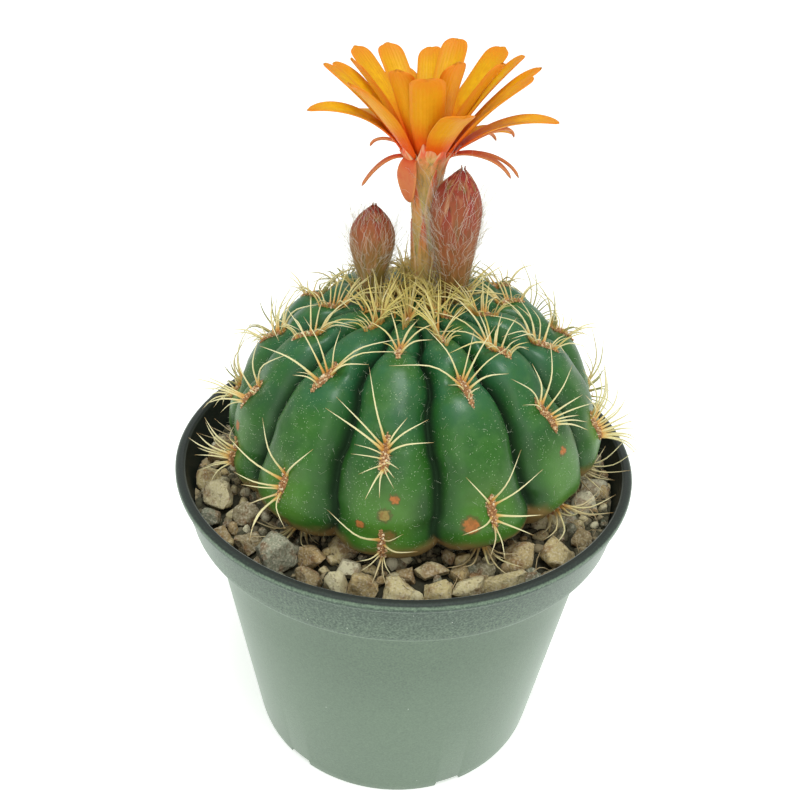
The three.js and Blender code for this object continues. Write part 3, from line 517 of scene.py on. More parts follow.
class Graph:
    """A node tree whose nodes all come from one method."""

    def __init__(self, tree):
        self.tree = tree

    def add(self, kind, settings=None, inputs=None, output=None):
        """Adds a node of a type, sets its settings and then its sockets' values or links."""
        node = self.tree.nodes.new(kind)
        for name, value in (settings or {}).items():
            if name == "stops":
                self.set_stops(node.color_ramp, value)
            else:
                setattr(node, name, value)
        for key, value in (inputs or {}).items():
            self.feed(self.find(node.inputs, key), value)
        socket = self.find(node.outputs, output or 0) if len(node.outputs) else None
        return Wire(self, socket)

    @staticmethod
    def find(sockets, key):
        if isinstance(key, int):
            return sockets[key] if sockets[key].enabled else next(s for s in sockets if s.enabled)
        return next(socket for socket in sockets if socket.enabled and socket.name == key)

    def feed(self, socket, value):
        if isinstance(value, Wire):
            self.tree.links.new(value.socket, socket)
        elif socket.type == "RGBA":
            socket.default_value = (*value[:3], 1)
        else:
            socket.default_value = value

    @staticmethod
    def set_stops(ramp, stops):
        for _ in range(len(stops) - len(ramp.elements)):
            ramp.elements.new(1)
        for element, (place, colour) in zip(ramp.elements, stops):
            element.position = place
            element.color = (*colour[:3], 1)


class Finish(Graph):
    """A material's node tree. Its colour is laid on coat by coat over patterns that the
    finishes share."""

    def __init__(self, name):
        self.material = bpy.data.materials.new(name)
        self.material.use_nodes = True
        super().__init__(self.material.node_tree)
        self.tree.nodes.clear()
        self.place = self.add("ShaderNodeTexCoord", output="Object")
        self.colour = None

    def read(self, label):
        return self.add("ShaderNodeAttribute", {"attribute_name": label}, output="Fac")

    def noise(self, millimetres, detail=3.0, upright=None):
        """Noise with swells of a size, drawn out upright where upright is under 1."""
        place = self.place
        if upright:
            place = self.add("ShaderNodeMapping", None,
                             {"Vector": place, "Scale": (1.0, 1.0, upright)})
        return self.add("ShaderNodeTexNoise", None,
                        {"Vector": place, "Scale": 1 / (millimetres * MM), "Detail": detail})

    def cells(self, millimetres):
        """How far the surface is from the nearest of many scattered points."""
        return self.add("ShaderNodeTexVoronoi", None,
                        {"Vector": self.place, "Scale": 1 / (millimetres * MM)}, "Distance")

    def height(self):
        """How high the surface is, in millimetres."""
        return self.add("ShaderNodeSeparateXYZ", None, {"Vector": self.place}, "Z") * (1 / MM)

    def distance_from(self, point):
        """How far the surface is from a point, in millimetres."""
        return self.add("ShaderNodeVectorMath", {"operation": "DISTANCE"},
                        {0: self.place, 1: tuple(np.asarray(point) * MM)}, "Value") * (1 / MM)

    def mix(self, factor, first, second):
        return self.add("ShaderNodeMix", {"data_type": "RGBA"},
                        {"Factor": factor, "A": first, "B": second})

    def shade(self, factor, *stops):
        """Starts the colour with a ramp. A stop is its place and a setting's colour, or
        its place and the three channels of a screen colour."""
        stops = [(place, colour[0] if len(colour) == 1 else paint(*colour))
                 for place, *colour in stops]
        self.colour = self.add("ShaderNodeValToRGB", {"stops": stops}, {"Fac": factor})

    def coat(self, mask, colour):
        """Lays a colour over what is there, by the mask."""
        self.colour = self.mix(mask, self.colour, colour)

    def shader(self, roughness, bump=None, bump_depth=0.1, **fixed):
        """A surface shader. bump is a height from 0 to 1, and bump_depth its size in mm."""
        inputs = {"Base Color": self.colour, "Roughness": roughness}
        inputs.update({name.replace("_", " ").title().replace("Ior", "IOR"): value
                       for name, value in fixed.items()})
        if bump is not None:
            inputs["Normal"] = self.add("ShaderNodeBump", None, {
                "Strength": 1.0, "Distance": bump_depth * MM, "Height": bump})
        return self.add("ShaderNodeBsdfPrincipled", None, inputs)

    def end(self, shader):
        self.add("ShaderNodeOutputMaterial", None, {"Surface": shader})
        return self.material

    def surface(self, *parts, **fixed):
        return self.end(self.shader(*parts, **fixed))


def thread_finish(name, label, roughness, *stops):
    """A finish for hairs and threads, made once, coloured by a value of their points.
    A stop is its place and its screen colour."""
    found = bpy.data.materials.get(name)
    if found is not None:
        return found
    finish = Finish(name)
    finish.shade(finish.read(label), *stops)
    return finish.surface(roughness)


class Growth(Graph):
    """A Geometry Nodes tree with named inputs that makes what repeats on a base mesh."""

    def __init__(self, name, **inputs):
        super().__init__(bpy.data.node_groups.new(name, "GeometryNodeTree"))
        self.tree.is_modifier = True
        self.add_socket("Geometry", "INPUT", "NodeSocketGeometry")
        for label, default in inputs.items():
            kind = "NodeSocketInt" if isinstance(default, int) else "NodeSocketFloat"
            socket = self.add_socket(label, "INPUT", kind)
            socket.default_value = default
        self.add_socket("Pieces", "INPUT", "NodeSocketCollection")
        self.add_socket("Material", "INPUT", "NodeSocketMaterial")
        self.add_socket("Geometry", "OUTPUT", "NodeSocketGeometry")
        self.entry = self.tree.nodes.new("NodeGroupInput")

    def add_socket(self, label, side, kind):
        return self.tree.interface.new_socket(label, in_out=side, socket_type=kind)

    def given(self, label):
        return Wire(self, self.entry.outputs[label])

    def reading(self, label):
        return self.add("GeometryNodeInputNamedAttribute", {"data_type": "FLOAT"},
                        {"Name": label})

    def random(self, low, high, seed_step):
        kind = "FLOAT_VECTOR" if isinstance(low, tuple) else "FLOAT"
        return self.add("FunctionNodeRandomValue", {"data_type": kind}, {
            "Min": low, "Max": high, "Seed": self.given("seed") + seed_step})

    def vector(self, operation, first, second):
        key = "Scale" if operation == "SCALE" else 1
        return self.add("ShaderNodeVectorMath", {"operation": operation},
                        {0: first, key: second})

    def store(self, geometry, label, value, domain="POINT"):
        return self.add("GeometryNodeStoreNamedAttribute",
                        {"data_type": "FLOAT", "domain": domain},
                        {"Geometry": geometry, "Name": label, "Value": value})

    def end(self, geometry):
        smooth = self.add("GeometryNodeSetShadeSmooth", None, {"Geometry": geometry})
        real = self.add("GeometryNodeRealizeInstances", None, {"Geometry": smooth})
        painted = self.add("GeometryNodeSetMaterial", None,
                           {"Geometry": real, "Material": self.given("Material")})
        self.add("NodeGroupOutput", None, {"Geometry": painted})
        return self.tree

    def points_on_base(self, method, **inputs):
        """Random points on the base mesh, each with a tone, and the normals there."""
        points = self.add("GeometryNodeDistributePointsOnFaces", {"distribute_method": method},
                          {"Mesh": self.given("Geometry"), "Seed": self.given("seed"),
                           **inputs})
        normal = Wire(self, points.socket.node.outputs["Normal"])
        return self.store(points, "tone", self.random(0.0, 1.0, 3)), normal

    def round_section(self, curve, radius, sides):
        ring = self.add("GeometryNodeCurvePrimitiveCircle", None,
                        {"Resolution": sides, "Radius": 1.0})
        return self.add("GeometryNodeCurveToMesh", None, {
            "Curve": curve, "Profile Curve": ring, "Scale": radius, "Fill Caps": True})


def needle_tree():
    """Tapered needles that follow guide lines."""
    tree = Growth("needles", radius=0.0002, tip_share=0.08, taper=2.2, swell=0.0, steps=8,
                  sides=5)
    curve = tree.add("GeometryNodeMeshToCurve", None, {"Mesh": tree.given("Geometry")})
    curve = tree.add("GeometryNodeCurveSplineType", {"spline_type": "CATMULL_ROM"},
                     {"Curve": curve})
    curve = tree.add("GeometryNodeResampleCurve", None,
                     {"Curve": curve, "Count": tree.given("steps")})
    along = tree.add("GeometryNodeSplineParameter", output="Factor")
    curve = tree.store(curve, "along", along)
    narrowing = 1 - (along ** tree.given("taper")) * (1 - tree.given("tip_share"))
    bulb = 1 + tree.given("swell") * along.step(0.27, 0.1)
    radius = tree.given("radius") * tree.reading("thick") * narrowing * bulb
    return tree.end(tree.round_section(curve, radius, tree.given("sides")))


def scatter_tree():
    """Copies of small pieces, spread over a surface with a least distance between them."""
    tree = Growth("scatter", spacing=0.002, density=1e6, smallest=0.001, largest=0.002,
                  lift=0.0, seed=1)
    points, normal = tree.points_on_base("POISSON", **{
        "Distance Min": tree.given("spacing"), "Density Max": tree.given("density"),
        "Density Factor": tree.reading("mask")})
    pieces = tree.add("GeometryNodeCollectionInfo", None, {
        "Collection": tree.given("Pieces"), "Separate Children": True})
    spin = tree.add("FunctionNodeEulerToRotation", None,
                    {"Euler": tree.random((0.0,) * 3, (6.28,) * 3, 1)})
    share = tree.random(0.0, 1.0, 2) ** 1.6
    size = tree.given("smallest") + share * (tree.given("largest") - tree.given("smallest"))
    points = tree.add("GeometryNodeSetPosition", None, {
        "Geometry": points, "Offset": tree.vector("SCALE", normal, tree.given("lift"))})
    copies = tree.add("GeometryNodeInstanceOnPoints", None, {
        "Points": points, "Instance": pieces, "Pick Instance": True, "Rotation": spin,
        "Scale": size})
    return tree.end(copies)


# The swells of the drift that a hair follows
CURL_SWELL = 4.0


def fuzz_tree():
    """Fine hairs that grow from a surface and wander as they lengthen."""
    tree = Growth("fuzz", density=1e5, length=0.003, length_spread=0.4, stand=1.0, rise=0.0,
                  scatter=0.5, curl=0.0, radius=0.00004, steps=5, sides=3, seed=1)
    points, normal = tree.points_on_base(
        "RANDOM", Density=tree.given("density") * tree.reading("mask"))
    tangled = tree.vector("SCALE", tree.random((-1.0,) * 3, (1.0,) * 3, 1),
                          tree.given("scatter"))
    upward = tree.add("ShaderNodeCombineXYZ", None, {"Z": tree.given("rise")})
    steepness = tree.add("ShaderNodeSeparateXYZ", None, {"Vector": normal}, "Z")
    leaving = tree.given("stand") - steepness * tree.given("rise")
    direction = tree.vector("ADD", tree.vector("SCALE", normal, leaving), tangled)
    direction = tree.vector("ADD", direction, upward)
    turn = tree.add("FunctionNodeAlignRotationToVector", {"axis": "Z"}, {"Vector": direction})
    line = tree.add("GeometryNodeCurvePrimitiveLine", None, {"End": (0.0, 0.0, 1.0)})
    line = tree.add("GeometryNodeResampleCurve", None,
                    {"Curve": line, "Count": tree.given("steps")})
    growth = 1 + tree.random(-1.0, 1.0, 2) * tree.given("length_spread")
    hairs = tree.add("GeometryNodeInstanceOnPoints", None, {
        "Points": points, "Instance": line, "Rotation": turn,
        "Scale": growth * tree.given("length")})
    hairs = tree.add("GeometryNodeRealizeInstances", None, {"Geometry": hairs})
    along = tree.add("GeometryNodeSplineParameter", output="Factor")
    place = tree.add("GeometryNodeInputPosition")
    drift = tree.add("ShaderNodeTexNoise", None, {
        "Vector": place, "Scale": 1 / (CURL_SWELL * MM), "Detail": 2.0}, "Color")
    drift = tree.vector("SUBTRACT", drift, (0.5, 0.5, 0.5))
    drift = tree.vector("SCALE", drift, along * tree.given("curl"))
    hairs = tree.add("GeometryNodeSetPosition", None, {"Geometry": hairs, "Offset": drift})
    hairs = tree.store(hairs, "along", along)
    radius = tree.given("radius") * (1 - along * 0.6)
    return tree.end(tree.round_section(hairs, radius, tree.given("sides")))


TREES = {"needles": needle_tree, "scatter": scatter_tree, "fuzz": fuzz_tree}


def evaluated_mesh(piece):
    """What a piece's modifiers make of it, as a plain mesh."""
    graph = bpy.context.evaluated_depsgraph_get()
    return bpy.data.meshes.new_from_object(
        piece.evaluated_get(graph), preserve_all_data_layers=True, depsgraph=graph)


def grow(kind, name, base, material, **values):
    """Runs a tree on a base mesh and returns its result as a plain mesh."""
    tree = bpy.data.node_groups.get(kind) or TREES[kind]()
    modifier = base.modifiers.new(name, "NODES")
    modifier.node_group = tree
    values["Material"] = material
    for item in tree.interface.items_tree:
        if item.in_out == "INPUT" and item.name in values:
            modifier[item.identifier] = values[item.name]
    mesh = evaluated_mesh(base)
    mesh.name = name
    base.modifiers.remove(modifier)
    return add_object(name, mesh)


def grow_needles(name, guides, material, **values):
    """Grows needles along guide lines and removes the lines."""
    lines = add_guides(name + "_guides", guides)
    needles = grow("needles", name, lines, material, **values)
    bpy.data.objects.remove(lines)
    return needles


def add_mask(piece, rule):
    """Stores how dense a growth is at each point of a piece, from 0 to 1."""
    store(piece.data, "mask", rule(places_of(piece.data) / MM))


def ball(subdivisions):
    """An even ball's points and triangles."""
    work = bmesh.new()
    bmesh.ops.create_icosphere(work, subdivisions=subdivisions, radius=1)
    points = np.array([vertex.co[:] for vertex in work.verts])
    faces = [tuple(vertex.index for vertex in face.verts) for face in work.faces]
    work.free()
    return points, faces


def stone_form(random, subdivisions, cuts, roughness):
    """A broken stone about 2 across: a ball cut by planes, with its corners worn."""
    points, faces = ball(subdivisions)
    for _ in range(cuts):
        direction = unit(random.normal(size=3))
        depth = random.uniform(0.46, 0.8)
        points = points - np.maximum(points @ direction - depth, 0)[:, None] * direction
    seed = int(random.integers(1000))
    points = points * (1 + roughness * ripple(points, 0.9, seed)
                       + roughness * 0.6 * ripple(points, 0.35, seed + 1)
                       + roughness * 0.35 * ripple(points, 0.14, seed + 2))[:, None]
    return points / np.abs(points).max(axis=0), faces


def loose_stones(name, count, seed, stretch=(1, 1, 1), **form):
    """Small stones that a scatter picks from, made once."""
    found = bpy.data.collections.get(name)
    if found is not None:
        return found
    stones = bpy.data.collections.new(name)
    for number in range(count):
        points, faces = stone_form(np.random.default_rng(seed + number), **form)
        mesh = bpy.data.meshes.new(f"{name}_{number}")
        mesh.from_pydata((points * stretch).tolist(), [], faces)
        stones.objects.link(bpy.data.objects.new(mesh.name, mesh))
    return stones


def grains():
    """The small grains of felt and grit."""
    return loose_stones("grains", 5, 60, subdivisions=1, cuts=5, roughness=0.1)


# Body form
RIDGE = smooth_curve(RIDGE_OUTLINE, np.linspace(0, 1, 4001))
RIDGE_RUN = np.concatenate([[0], np.cumsum(np.linalg.norm(np.diff(RIDGE, axis=0), axis=1))])
RIDGE_LENGTH = RIDGE_RUN[-1]
RIDGE_TANGENT = unit(np.gradient(RIDGE, axis=0))


def areole_count(rib, from_crown):
    """How many areoles a rib has passed, with its part of the next step."""
    stops = np.array(RIBS[rib][1], float)
    after = np.searchsorted(stops, from_crown, side="right")
    here = np.clip(after - 1, 0, len(stops) - 2)
    return here + (from_crown - stops[here]) / (stops[here + 1] - stops[here])


def rib_width(rib, from_crown):
    """A rib's share of the room, which grows below an areole and shrinks towards the next."""
    below = areole_count(rib, from_crown) % 1
    wave = CREASE_WAVE * (2.5 - 1.5 * smooth_step(from_crown, 18, 48))
    return 1 - wave * np.cos(below ** 0.45 * 2 * math.pi)


def crease_azimuth(rib, from_crown):
    """The crease after a rib, which bows towards the narrower of its two ribs."""
    here = rib % len(RIBS)
    following = (here + 1) % len(RIBS)
    step = (RIBS[following][0] - RIBS[here][0]) % 360
    bow = (rib_width(here, from_crown) - rib_width(following, from_crown)) / 2
    return RIBS[here][0] + step * (0.5 + bow / 2)


def rib_reach(rib, from_crown):
    """The angles from a rib's ridge to the creases before and after it."""
    ridge = RIBS[rib][0]
    before = (ridge - crease_azimuth(rib - 1, from_crown)) % 360
    after = crease_azimuth(rib, from_crown) - ridge
    return before, after


def body_points(rib, across, from_crown, lift=0.0):
    """Points of the skin. across is -1 at a rib's first crease, 0 at its ridge and 1 at
    its second crease, and from_crown is the distance down the ridge."""
    across, from_crown, lift = np.broadcast_arrays(across, from_crown, lift)
    run = RIDGE_LENGTH - from_crown
    radius, height, out_r, out_z = (
        np.interp(run, RIDGE_RUN, values)
        for values in (RIDGE[:, 0], RIDGE[:, 1], RIDGE_TANGENT[:, 1], -RIDGE_TANGENT[:, 0])
    )
    crease = CREASE_DEPTH * smooth_step(from_crown, *CREASE_OPENS)
    crease = crease * (1 - 0.5 * smooth_step(from_crown, *CREASE_HALVES))
    crease = crease * (1 - smooth_step(from_crown, *CREASE_ENDS))
    below = from_crown[..., None] - np.array(RIBS[rib][1], float)
    notch, bulge = (
        depth * np.exp(-((below - place) / half_width) ** 2).max(axis=-1)
        for depth, place, half_width in (NOTCH, BULGE)
    )
    relief = (notch - bulge) * smooth_step(from_crown, 10, 26)
    relief = relief * (1.5 - 0.6 * smooth_step(from_crown, 26, 50))
    sink = crease * np.abs(across) ** CREASE_SHARPNESS + relief * (1 - across ** 2) ** 2
    before, after = rib_reach(rib, from_crown)
    azimuth = RIBS[rib][0] + across * np.where(across < 0, before, after)
    shift = lift - sink
    flat = outward_at(azimuth) * np.maximum(radius + out_r * shift, 0)[..., None]
    height = height + out_z * shift
    rise = height - BODY_CENTRE[2]
    return np.stack([
        BODY_CENTRE[0] + flat[..., 0] + BODY_LEAN[0] * rise,
        BODY_CENTRE[1] + flat[..., 1] + BODY_LEAN[1] * rise,
        height - BODY_LEAN[0] * flat[..., 0] - BODY_LEAN[1] * flat[..., 1],
    ], axis=-1)


class Areole:
    """One areole's place on its rib and the surface's directions there."""

    def __init__(self, rib, from_crown):
        self.rib = rib
        self.from_crown = from_crown
        self.centre = body_points(rib, 0.0, from_crown)
        above = body_points(rib, 0.0, max(from_crown - 0.5, 0.0))
        below = body_points(rib, 0.0, from_crown + 0.5)
        self.up = unit(above - below)
        self.side = outward_at(float(RIBS[rib][0] + 90))
        self.out = unit(-np.cross(self.up, self.side))
        self.crown_share = float(1 - smooth_step(from_crown, 12, 34))

    def lean(self, heading, tilt):
        """The normal's direction, tilted towards a heading."""
        return unit(self.out * math.cos(tilt) + heading * math.sin(tilt))

    def skin(self, up, side, lift=0.0):
        """A point on the skin, by its distances up the ridge and to the side."""
        up, side = np.broadcast_arrays(np.asarray(up, float), side)
        from_crown = np.maximum(self.from_crown - up, 0.0)
        run = RIDGE_LENGTH - from_crown
        radius = np.maximum(np.interp(run, RIDGE_RUN, RIDGE[:, 0]), 1.0)
        before, after = rib_reach(self.rib, from_crown)
        reach = np.radians(np.where(side < 0, before, after)) * radius
        return body_points(self.rib, side / reach, from_crown, lift)


AREOLES = [Areole(rib, float(stop)) for rib, (_, stops) in enumerate(RIBS) for stop in stops]


def skin_shape():
    """The ribbed body as a closed grid, with what its finish reads at each point."""
    shape = Shape()
    from_crown = np.linspace(RIDGE_LENGTH, 0, BODY_ROWS)[1:-1]
    even = np.arange(COLUMNS_PER_RIB) / COLUMNS_PER_RIB * 2 - 1
    across = (even + np.sin(even * math.pi / 2)) / 2
    rings = [body_points(rib, across[None, :], from_crown[:, None]) for rib in range(len(RIBS))]
    points = np.concatenate(rings, axis=1)
    fade = smooth_step(from_crown, 4, 20)[:, None, None]
    middle = points.mean(axis=1, keepdims=True)
    points = points + unit(points - middle) * fade * (
        0.35 * ripple(points, 24, 3) + 0.12 * ripple(points, 7, 4))[..., None]
    creases = np.tile(np.abs(across), len(RIBS)) * np.ones((len(from_crown), 1))
    centres = np.array([areole.centre for areole in AREOLES])
    flat = points.reshape(-1, 3)
    near = np.min(np.linalg.norm(flat[:, None] - centres, axis=-1), axis=1)
    down = np.repeat(from_crown, points.shape[1])
    shape.add_tube(points, crease=creases, near=near, down=down)
    return shape


ORANGE_SCAR = (190, 112, 52)
TAN_SCAR = (160, 142, 74)
OLIVE_SCAR = (124, 110, 54)

# Scars: rib, place across it and down it, radius and tint
SCARS = [
    (3, 0.22, 56.5, 1.1, ORANGE_SCAR), (3, 0.05, 60.5, 1.4, TAN_SCAR),
    (3, -0.4, 63.5, 1.0, ORANGE_SCAR), (4, -0.4, 64, 1.9, ORANGE_SCAR),
    (2, 0.12, 70, 1.5, OLIVE_SCAR), (3, 0.13, 66, 1.5, OLIVE_SCAR),
    (1, 0.1, 57, 1.3, ORANGE_SCAR), (5, 0.0, 55.5, 1.0, ORANGE_SCAR),
    (8, 0.2, 60, 1.4, TAN_SCAR), (10, -0.3, 57, 1.2, ORANGE_SCAR),
    (11, 0.4, 50, 1.5, OLIVE_SCAR), (7, 0.35, 62, 1.1, ORANGE_SCAR),
]


def skin_finish(settings):
    """Waxy green skin: creases darkened with painted shade, a bluish tone above that is partly
    its own waxy film and partly a painted reflection, fresh green bulges, scars.
    """
    finish = Finish("cactus_skin")
    crease = finish.read("crease")
    down = finish.read("down")
    cloud = finish.noise(9, 4)
    fine = finish.noise(1.1, 4)
    finish.colour = finish.mix(cloud.step(0.35, 0.7), settings.green, dim(settings.green, 0.6))
    bulge = down.step(48, 62) * down.step(78, 66) * crease.step(0.8, 0.25)
    finish.coat(bulge * (0.15 + 0.65 * cloud), settings.fresh)
    # A bluish tone on the upper parts, strongest near the areoles: partly the skin's own waxy
    # film, partly a painted reflection of the cool overhead light
    near = finish.read("near").step(15, 4)
    bloom_and_sheen = down.step(58, 26) * (0.4 + 0.6 * near) * cloud.step(0.25, 0.6)
    finish.coat(bloom_and_sheen * 0.8, settings.blue)
    mottle = finish.noise(2.4, 5).step(0.42, 0.72) * crease.step(0.8, 0.3)
    finish.coat(mottle * 0.14, paint(108, 152, 86))
    # Painted shade: the flanks darken towards the creases, and the creases go nearly black-green
    finish.coat(crease.step(0.45, 0.95) * 0.4, paint(20, 64, 24))
    deep = crease.step(0.8, 0.97)
    finish.coat(deep * 0.9, settings.crease)
    dusted = finish.noise(7, 3).step(0.36, 0.6) * crease.step(0.95, 0.7)
    flecks = finish.cells(0.66).step(0.21, 0.09) * dusted
    finish.coat(flecks * 0.7, paint(184, 210, 162))
    corky = (down + (finish.noise(12, 3) - 0.5) * 12).step(67.5, 71.5)
    finish.coat(corky * 0.85, settings.cork)
    wander = (finish.noise(0.8, 3) - 0.5) * 1.8
    blotch = finish.noise(0.8, 2).step(0.4, 0.62)
    scars = []
    for rib, across, stop, size, tint in SCARS:
        reach = finish.distance_from(body_points(rib, across, float(stop))) + wander
        finish.coat(reach.step(size * 1.5, size * 1.1) * 0.75, paint(84, 82, 30))
        scar = reach.step(size * 1.05, size * 0.75)
        bare = finish.mix(blotch * 0.6, paint(*tint), paint(138, 88, 40))
        finish.coat(scar * 0.85, bare)
        scars.append(scar)
    roughness = 0.38 + 0.14 * fine + corky * 0.4 + sum(scars) * 0.3 + deep * 0.4
    bump = fine * 0.5 + finish.noise(3.2, 2) * 0.6 + corky * fine + flecks * 0.5
    return finish.surface(roughness, bump, 0.12, specular_ior_level=0.36,
                          coat_weight=0.22 * (1 - deep), coat_roughness=0.24)


# Where the crown begins, and how far from a stem's foot its wool thins out and ends
CROWN_Z = 115
CROWN_WOOL_REACH = (4.5, 7.5)


def crown_mask(points):
    """Where wool grows: round the feet of the flower and of the buds, on the crown."""
    feet = [line[0][:2] for line in (TUBE_LINE, LARGE_BUD_LINE, SMALL_BUD_LINE)]
    away = np.min([from_axis(points, x, y) for x, y in feet], axis=0)
    return (1 - smooth_step(away, *CROWN_WOOL_REACH)) * (points[:, 2] > CROWN_Z)


class CACTUS_OT_body(bpy.types.Operator):
    """Makes the ribbed green body with its flecks of wool"""

    bl_idname = "cactus.make_body"
    bl_label = "Make body"

    def execute(self, context):
        skin = skin_shape().make("cactus_skin", skin_finish(context.scene.cactus_skin))
        dress(skin, "cactus_skin", "cactus_body")
        add_mask(skin, lambda points: smooth_step(points[:, 2], 84, 90))
        wool = thread_finish("skin_wool", "tone", 0.8, (0.1, 170, 184, 150),
                             (0.9, 224, 232, 206))
        fibres = grow("fuzz", "skin_fibres", skin, wool, density=165000.0, length=1.0 * MM,
                      length_spread=0.8, stand=0.12, scatter=1.0, curl=1.8 * MM,
                      radius=0.023 * MM, steps=5, seed=4)
        dress(fibres, "cactus_skin")
        add_mask(skin, crown_mask)
        wool = thread_finish("crown_wool", "tone", 0.8, (0.1, 112, 84, 54),
                             (0.5, 166, 146, 112), (0.9, 222, 214, 198))
        tufts = grow("fuzz", "crown_wool", skin, wool, density=1.3e6, length=4.0 * MM,
                     length_spread=0.5, stand=0.6, scatter=0.8, curl=5.0 * MM,
                     radius=0.05 * MM, steps=7, seed=12)
        dress(tufts, "cactus_skin")
        return {"FINISHED"}


def pad_shape():
    """The felted oval pads that the spines grow from."""
    shape = Shape()
    rows, columns = 9, 18
    polar = np.linspace(0.04, math.pi - 0.04, rows)[:, None]
    angle = np.linspace(0, 2 * math.pi, columns, endpoint=False)[None, :]
    for number, areole in enumerate(AREOLES):
        growth = 1 - 0.55 * areole.crown_share
        lumps = 1 + 0.16 * np.sin(angle * 3 + number) * np.sin(polar)
        up = np.sin(polar) * np.cos(angle) * PAD_HALF_LENGTH * growth * lumps
        side = np.sin(polar) * np.sin(angle) * PAD_HALF_WIDTH * growth * lumps
        lift = np.where(np.cos(polar) > 0, PAD_HEIGHT, 0.7) * np.cos(polar)
        points = areole.skin(up, side, lift * np.ones_like(angle))
        points += 0.16 * ripple(points, 1.6, 9)[..., None] * areole.out
        shape.add_tube(points, mask=smooth_step(np.cos(polar), -0.2, 0.1) + 0 * angle)
    return shape


def felt_finish():
    """Orange-brown felt with whitish grains."""
    finish = Finish("areole_felt")
    finish.shade(finish.read("tone") * 0.7 + finish.noise(0.8, 3) * 0.3,
                 (0.12, 146, 100, 60), (0.36, 192, 146, 98), (0.6, 214, 178, 130),
                 (0.86, 238, 222, 190))
    return finish.surface(0.9, finish.noise(0.25, 2), 0.06)


class CACTUS_OT_areoles(bpy.types.Operator):
    """Makes the felted areoles on the ribs"""

    bl_idname = "cactus.make_areoles"
    bl_label = "Make areoles"

    def execute(self, _context):
        felt = felt_finish()
        pads = pad_shape().make("areole_pads", felt)
        dress(pads, "cactus_skin", "cactus_body")
        bits = grow("scatter", "areole_grains", pads, felt, Pieces=grains(),
                    spacing=0.42 * MM, density=6e6, smallest=0.2 * MM, largest=0.42 * MM,
                    lift=0.05 * MM, seed=3)
        dress(bits, "cactus_skin")
        wool = thread_finish("areole_wool", "tone", 0.85, (0.2, 190, 130, 70),
                             (0.8, 240, 226, 196))
        tufts = grow("fuzz", "areole_wool", pads, wool, density=2.2e6, length=1.1 * MM,
                     length_spread=0.5, stand=0.7, scatter=0.9, curl=1.0 * MM,
                     radius=0.03 * MM, steps=4, seed=8)
        dress(tufts, "cactus_skin")
        return {"FINISHED"}


# Spines of the areoles that face the viewer, by rib and by distance from the crown's
# centre: angle, length and tilt
TRACED_SPINES = {
    (3, 47.0): [
        (-24, 17, 60), (-57, 15.5, 66), (-69, 16, 68), (56, 11.5, 62), (42, 8.5, 46),
        (77, 11.5, 66), (-86, 7, 64), (-103, 7.5, 66), (-133, 6.5, 66), (-166, 10, 68),
        (180, 9, 64), (154, 7, 66), (140, 5, 60), (118, 4.5, 60),
    ],
    (2, 33.0): [
        (-80, 21, 56), (-63, 16, 58), (-27, 10, 50), (45, 18, 66), (63, 20, 66),
        (66, 10.5, 66), (-117, 16.5, 66), (-120, 5.5, 66), (-132, 6, 68), (147, 3.5, 46),
    ],
    (4, 33.0): [
        (-72, 17.5, 74), (-27, 14, 50), (39, 13, 52), (57, 16.5, 58), (78, 14.5, 64),
        (99, 10, 68), (-96, 5, 62), (123, 3, 44), (-144, 3, 30),
    ],
    (5, 46.0): [
        (21, 9.5, 60), (42, 15.5, 55), (72, 13.5, 62), (99, 10, 66), (114, 11.5, 66),
        (126, 6.5, 66), (138, 8, 66), (153, 8, 66), (-63, 7.5, 70), (-33, 10.5, 66),
    ],
    (3, 21.5): [
        (-75, 12.5, 64), (-39, 12, 52), (27, 8, 56), (39, 9.5, 50), (66, 14.5, 66),
        (99, 10.5, 70), (-105, 6, 68),
    ],
    (2, 60.0): [
        (-39, 14, 62), (-75, 17, 62), (-105, 12, 64), (-114, 9.5, 64), (-144, 8, 66),
        (-180, 14, 66), (126, 12, 66), (45, 12, 70), (177, 11, 60),
    ],
    (4, 62.0): [
        (-45, 10, 66), (33, 14, 58), (60, 14, 62), (102, 11, 66), (126, 9.5, 66),
        (-105, 11.5, 64), (-171, 9, 62), (-147, 9.5, 62),
    ],
    (3, 69.0): [
        (-54, 15.5, 66), (54, 6.5, 66), (78, 10, 60), (-114, 6, 60), (-165, 8, 50),
        (168, 7.5, 50), (147, 5.5, 55), (-129, 6.5, 55),
    ],
    (1, 48.0): [
        (-129, 17, 60), (-135, 13, 62), (-159, 10, 62), (-39, 11.5, 50), (36, 17, 64),
        (-123, 14, 60), (-80, 11, 62), (80, 8, 64), (160, 7, 62),
    ],
    (1, 66.0): [
        (-87, 12.5, 62), (-114, 16.5, 62), (-120, 13.5, 62), (69, 12, 62), (-96, 9.5, 62),
        (30, 9, 60), (-150, 9, 62), (160, 8, 62), (-70, 11, 40), (-130, 10, 40),
        (-105, 12, 50), (-165, 10, 46),
    ],
    (6, 61.0): [
        (0, 14, 66), (14, 16, 58), (30, 15, 52), (48, 14, 56), (64, 13, 62), (82, 14, 60),
        (98, 13, 56), (112, 12, 54), (124, 13, 58), (136, 12, 54), (148, 13, 60),
        (160, 12, 54), (172, 12, 60), (-176, 11, 58), (-30, 10, 66), (88, 9, 30),
        (130, 9, 32), (165, 9, 34),
    ],
}


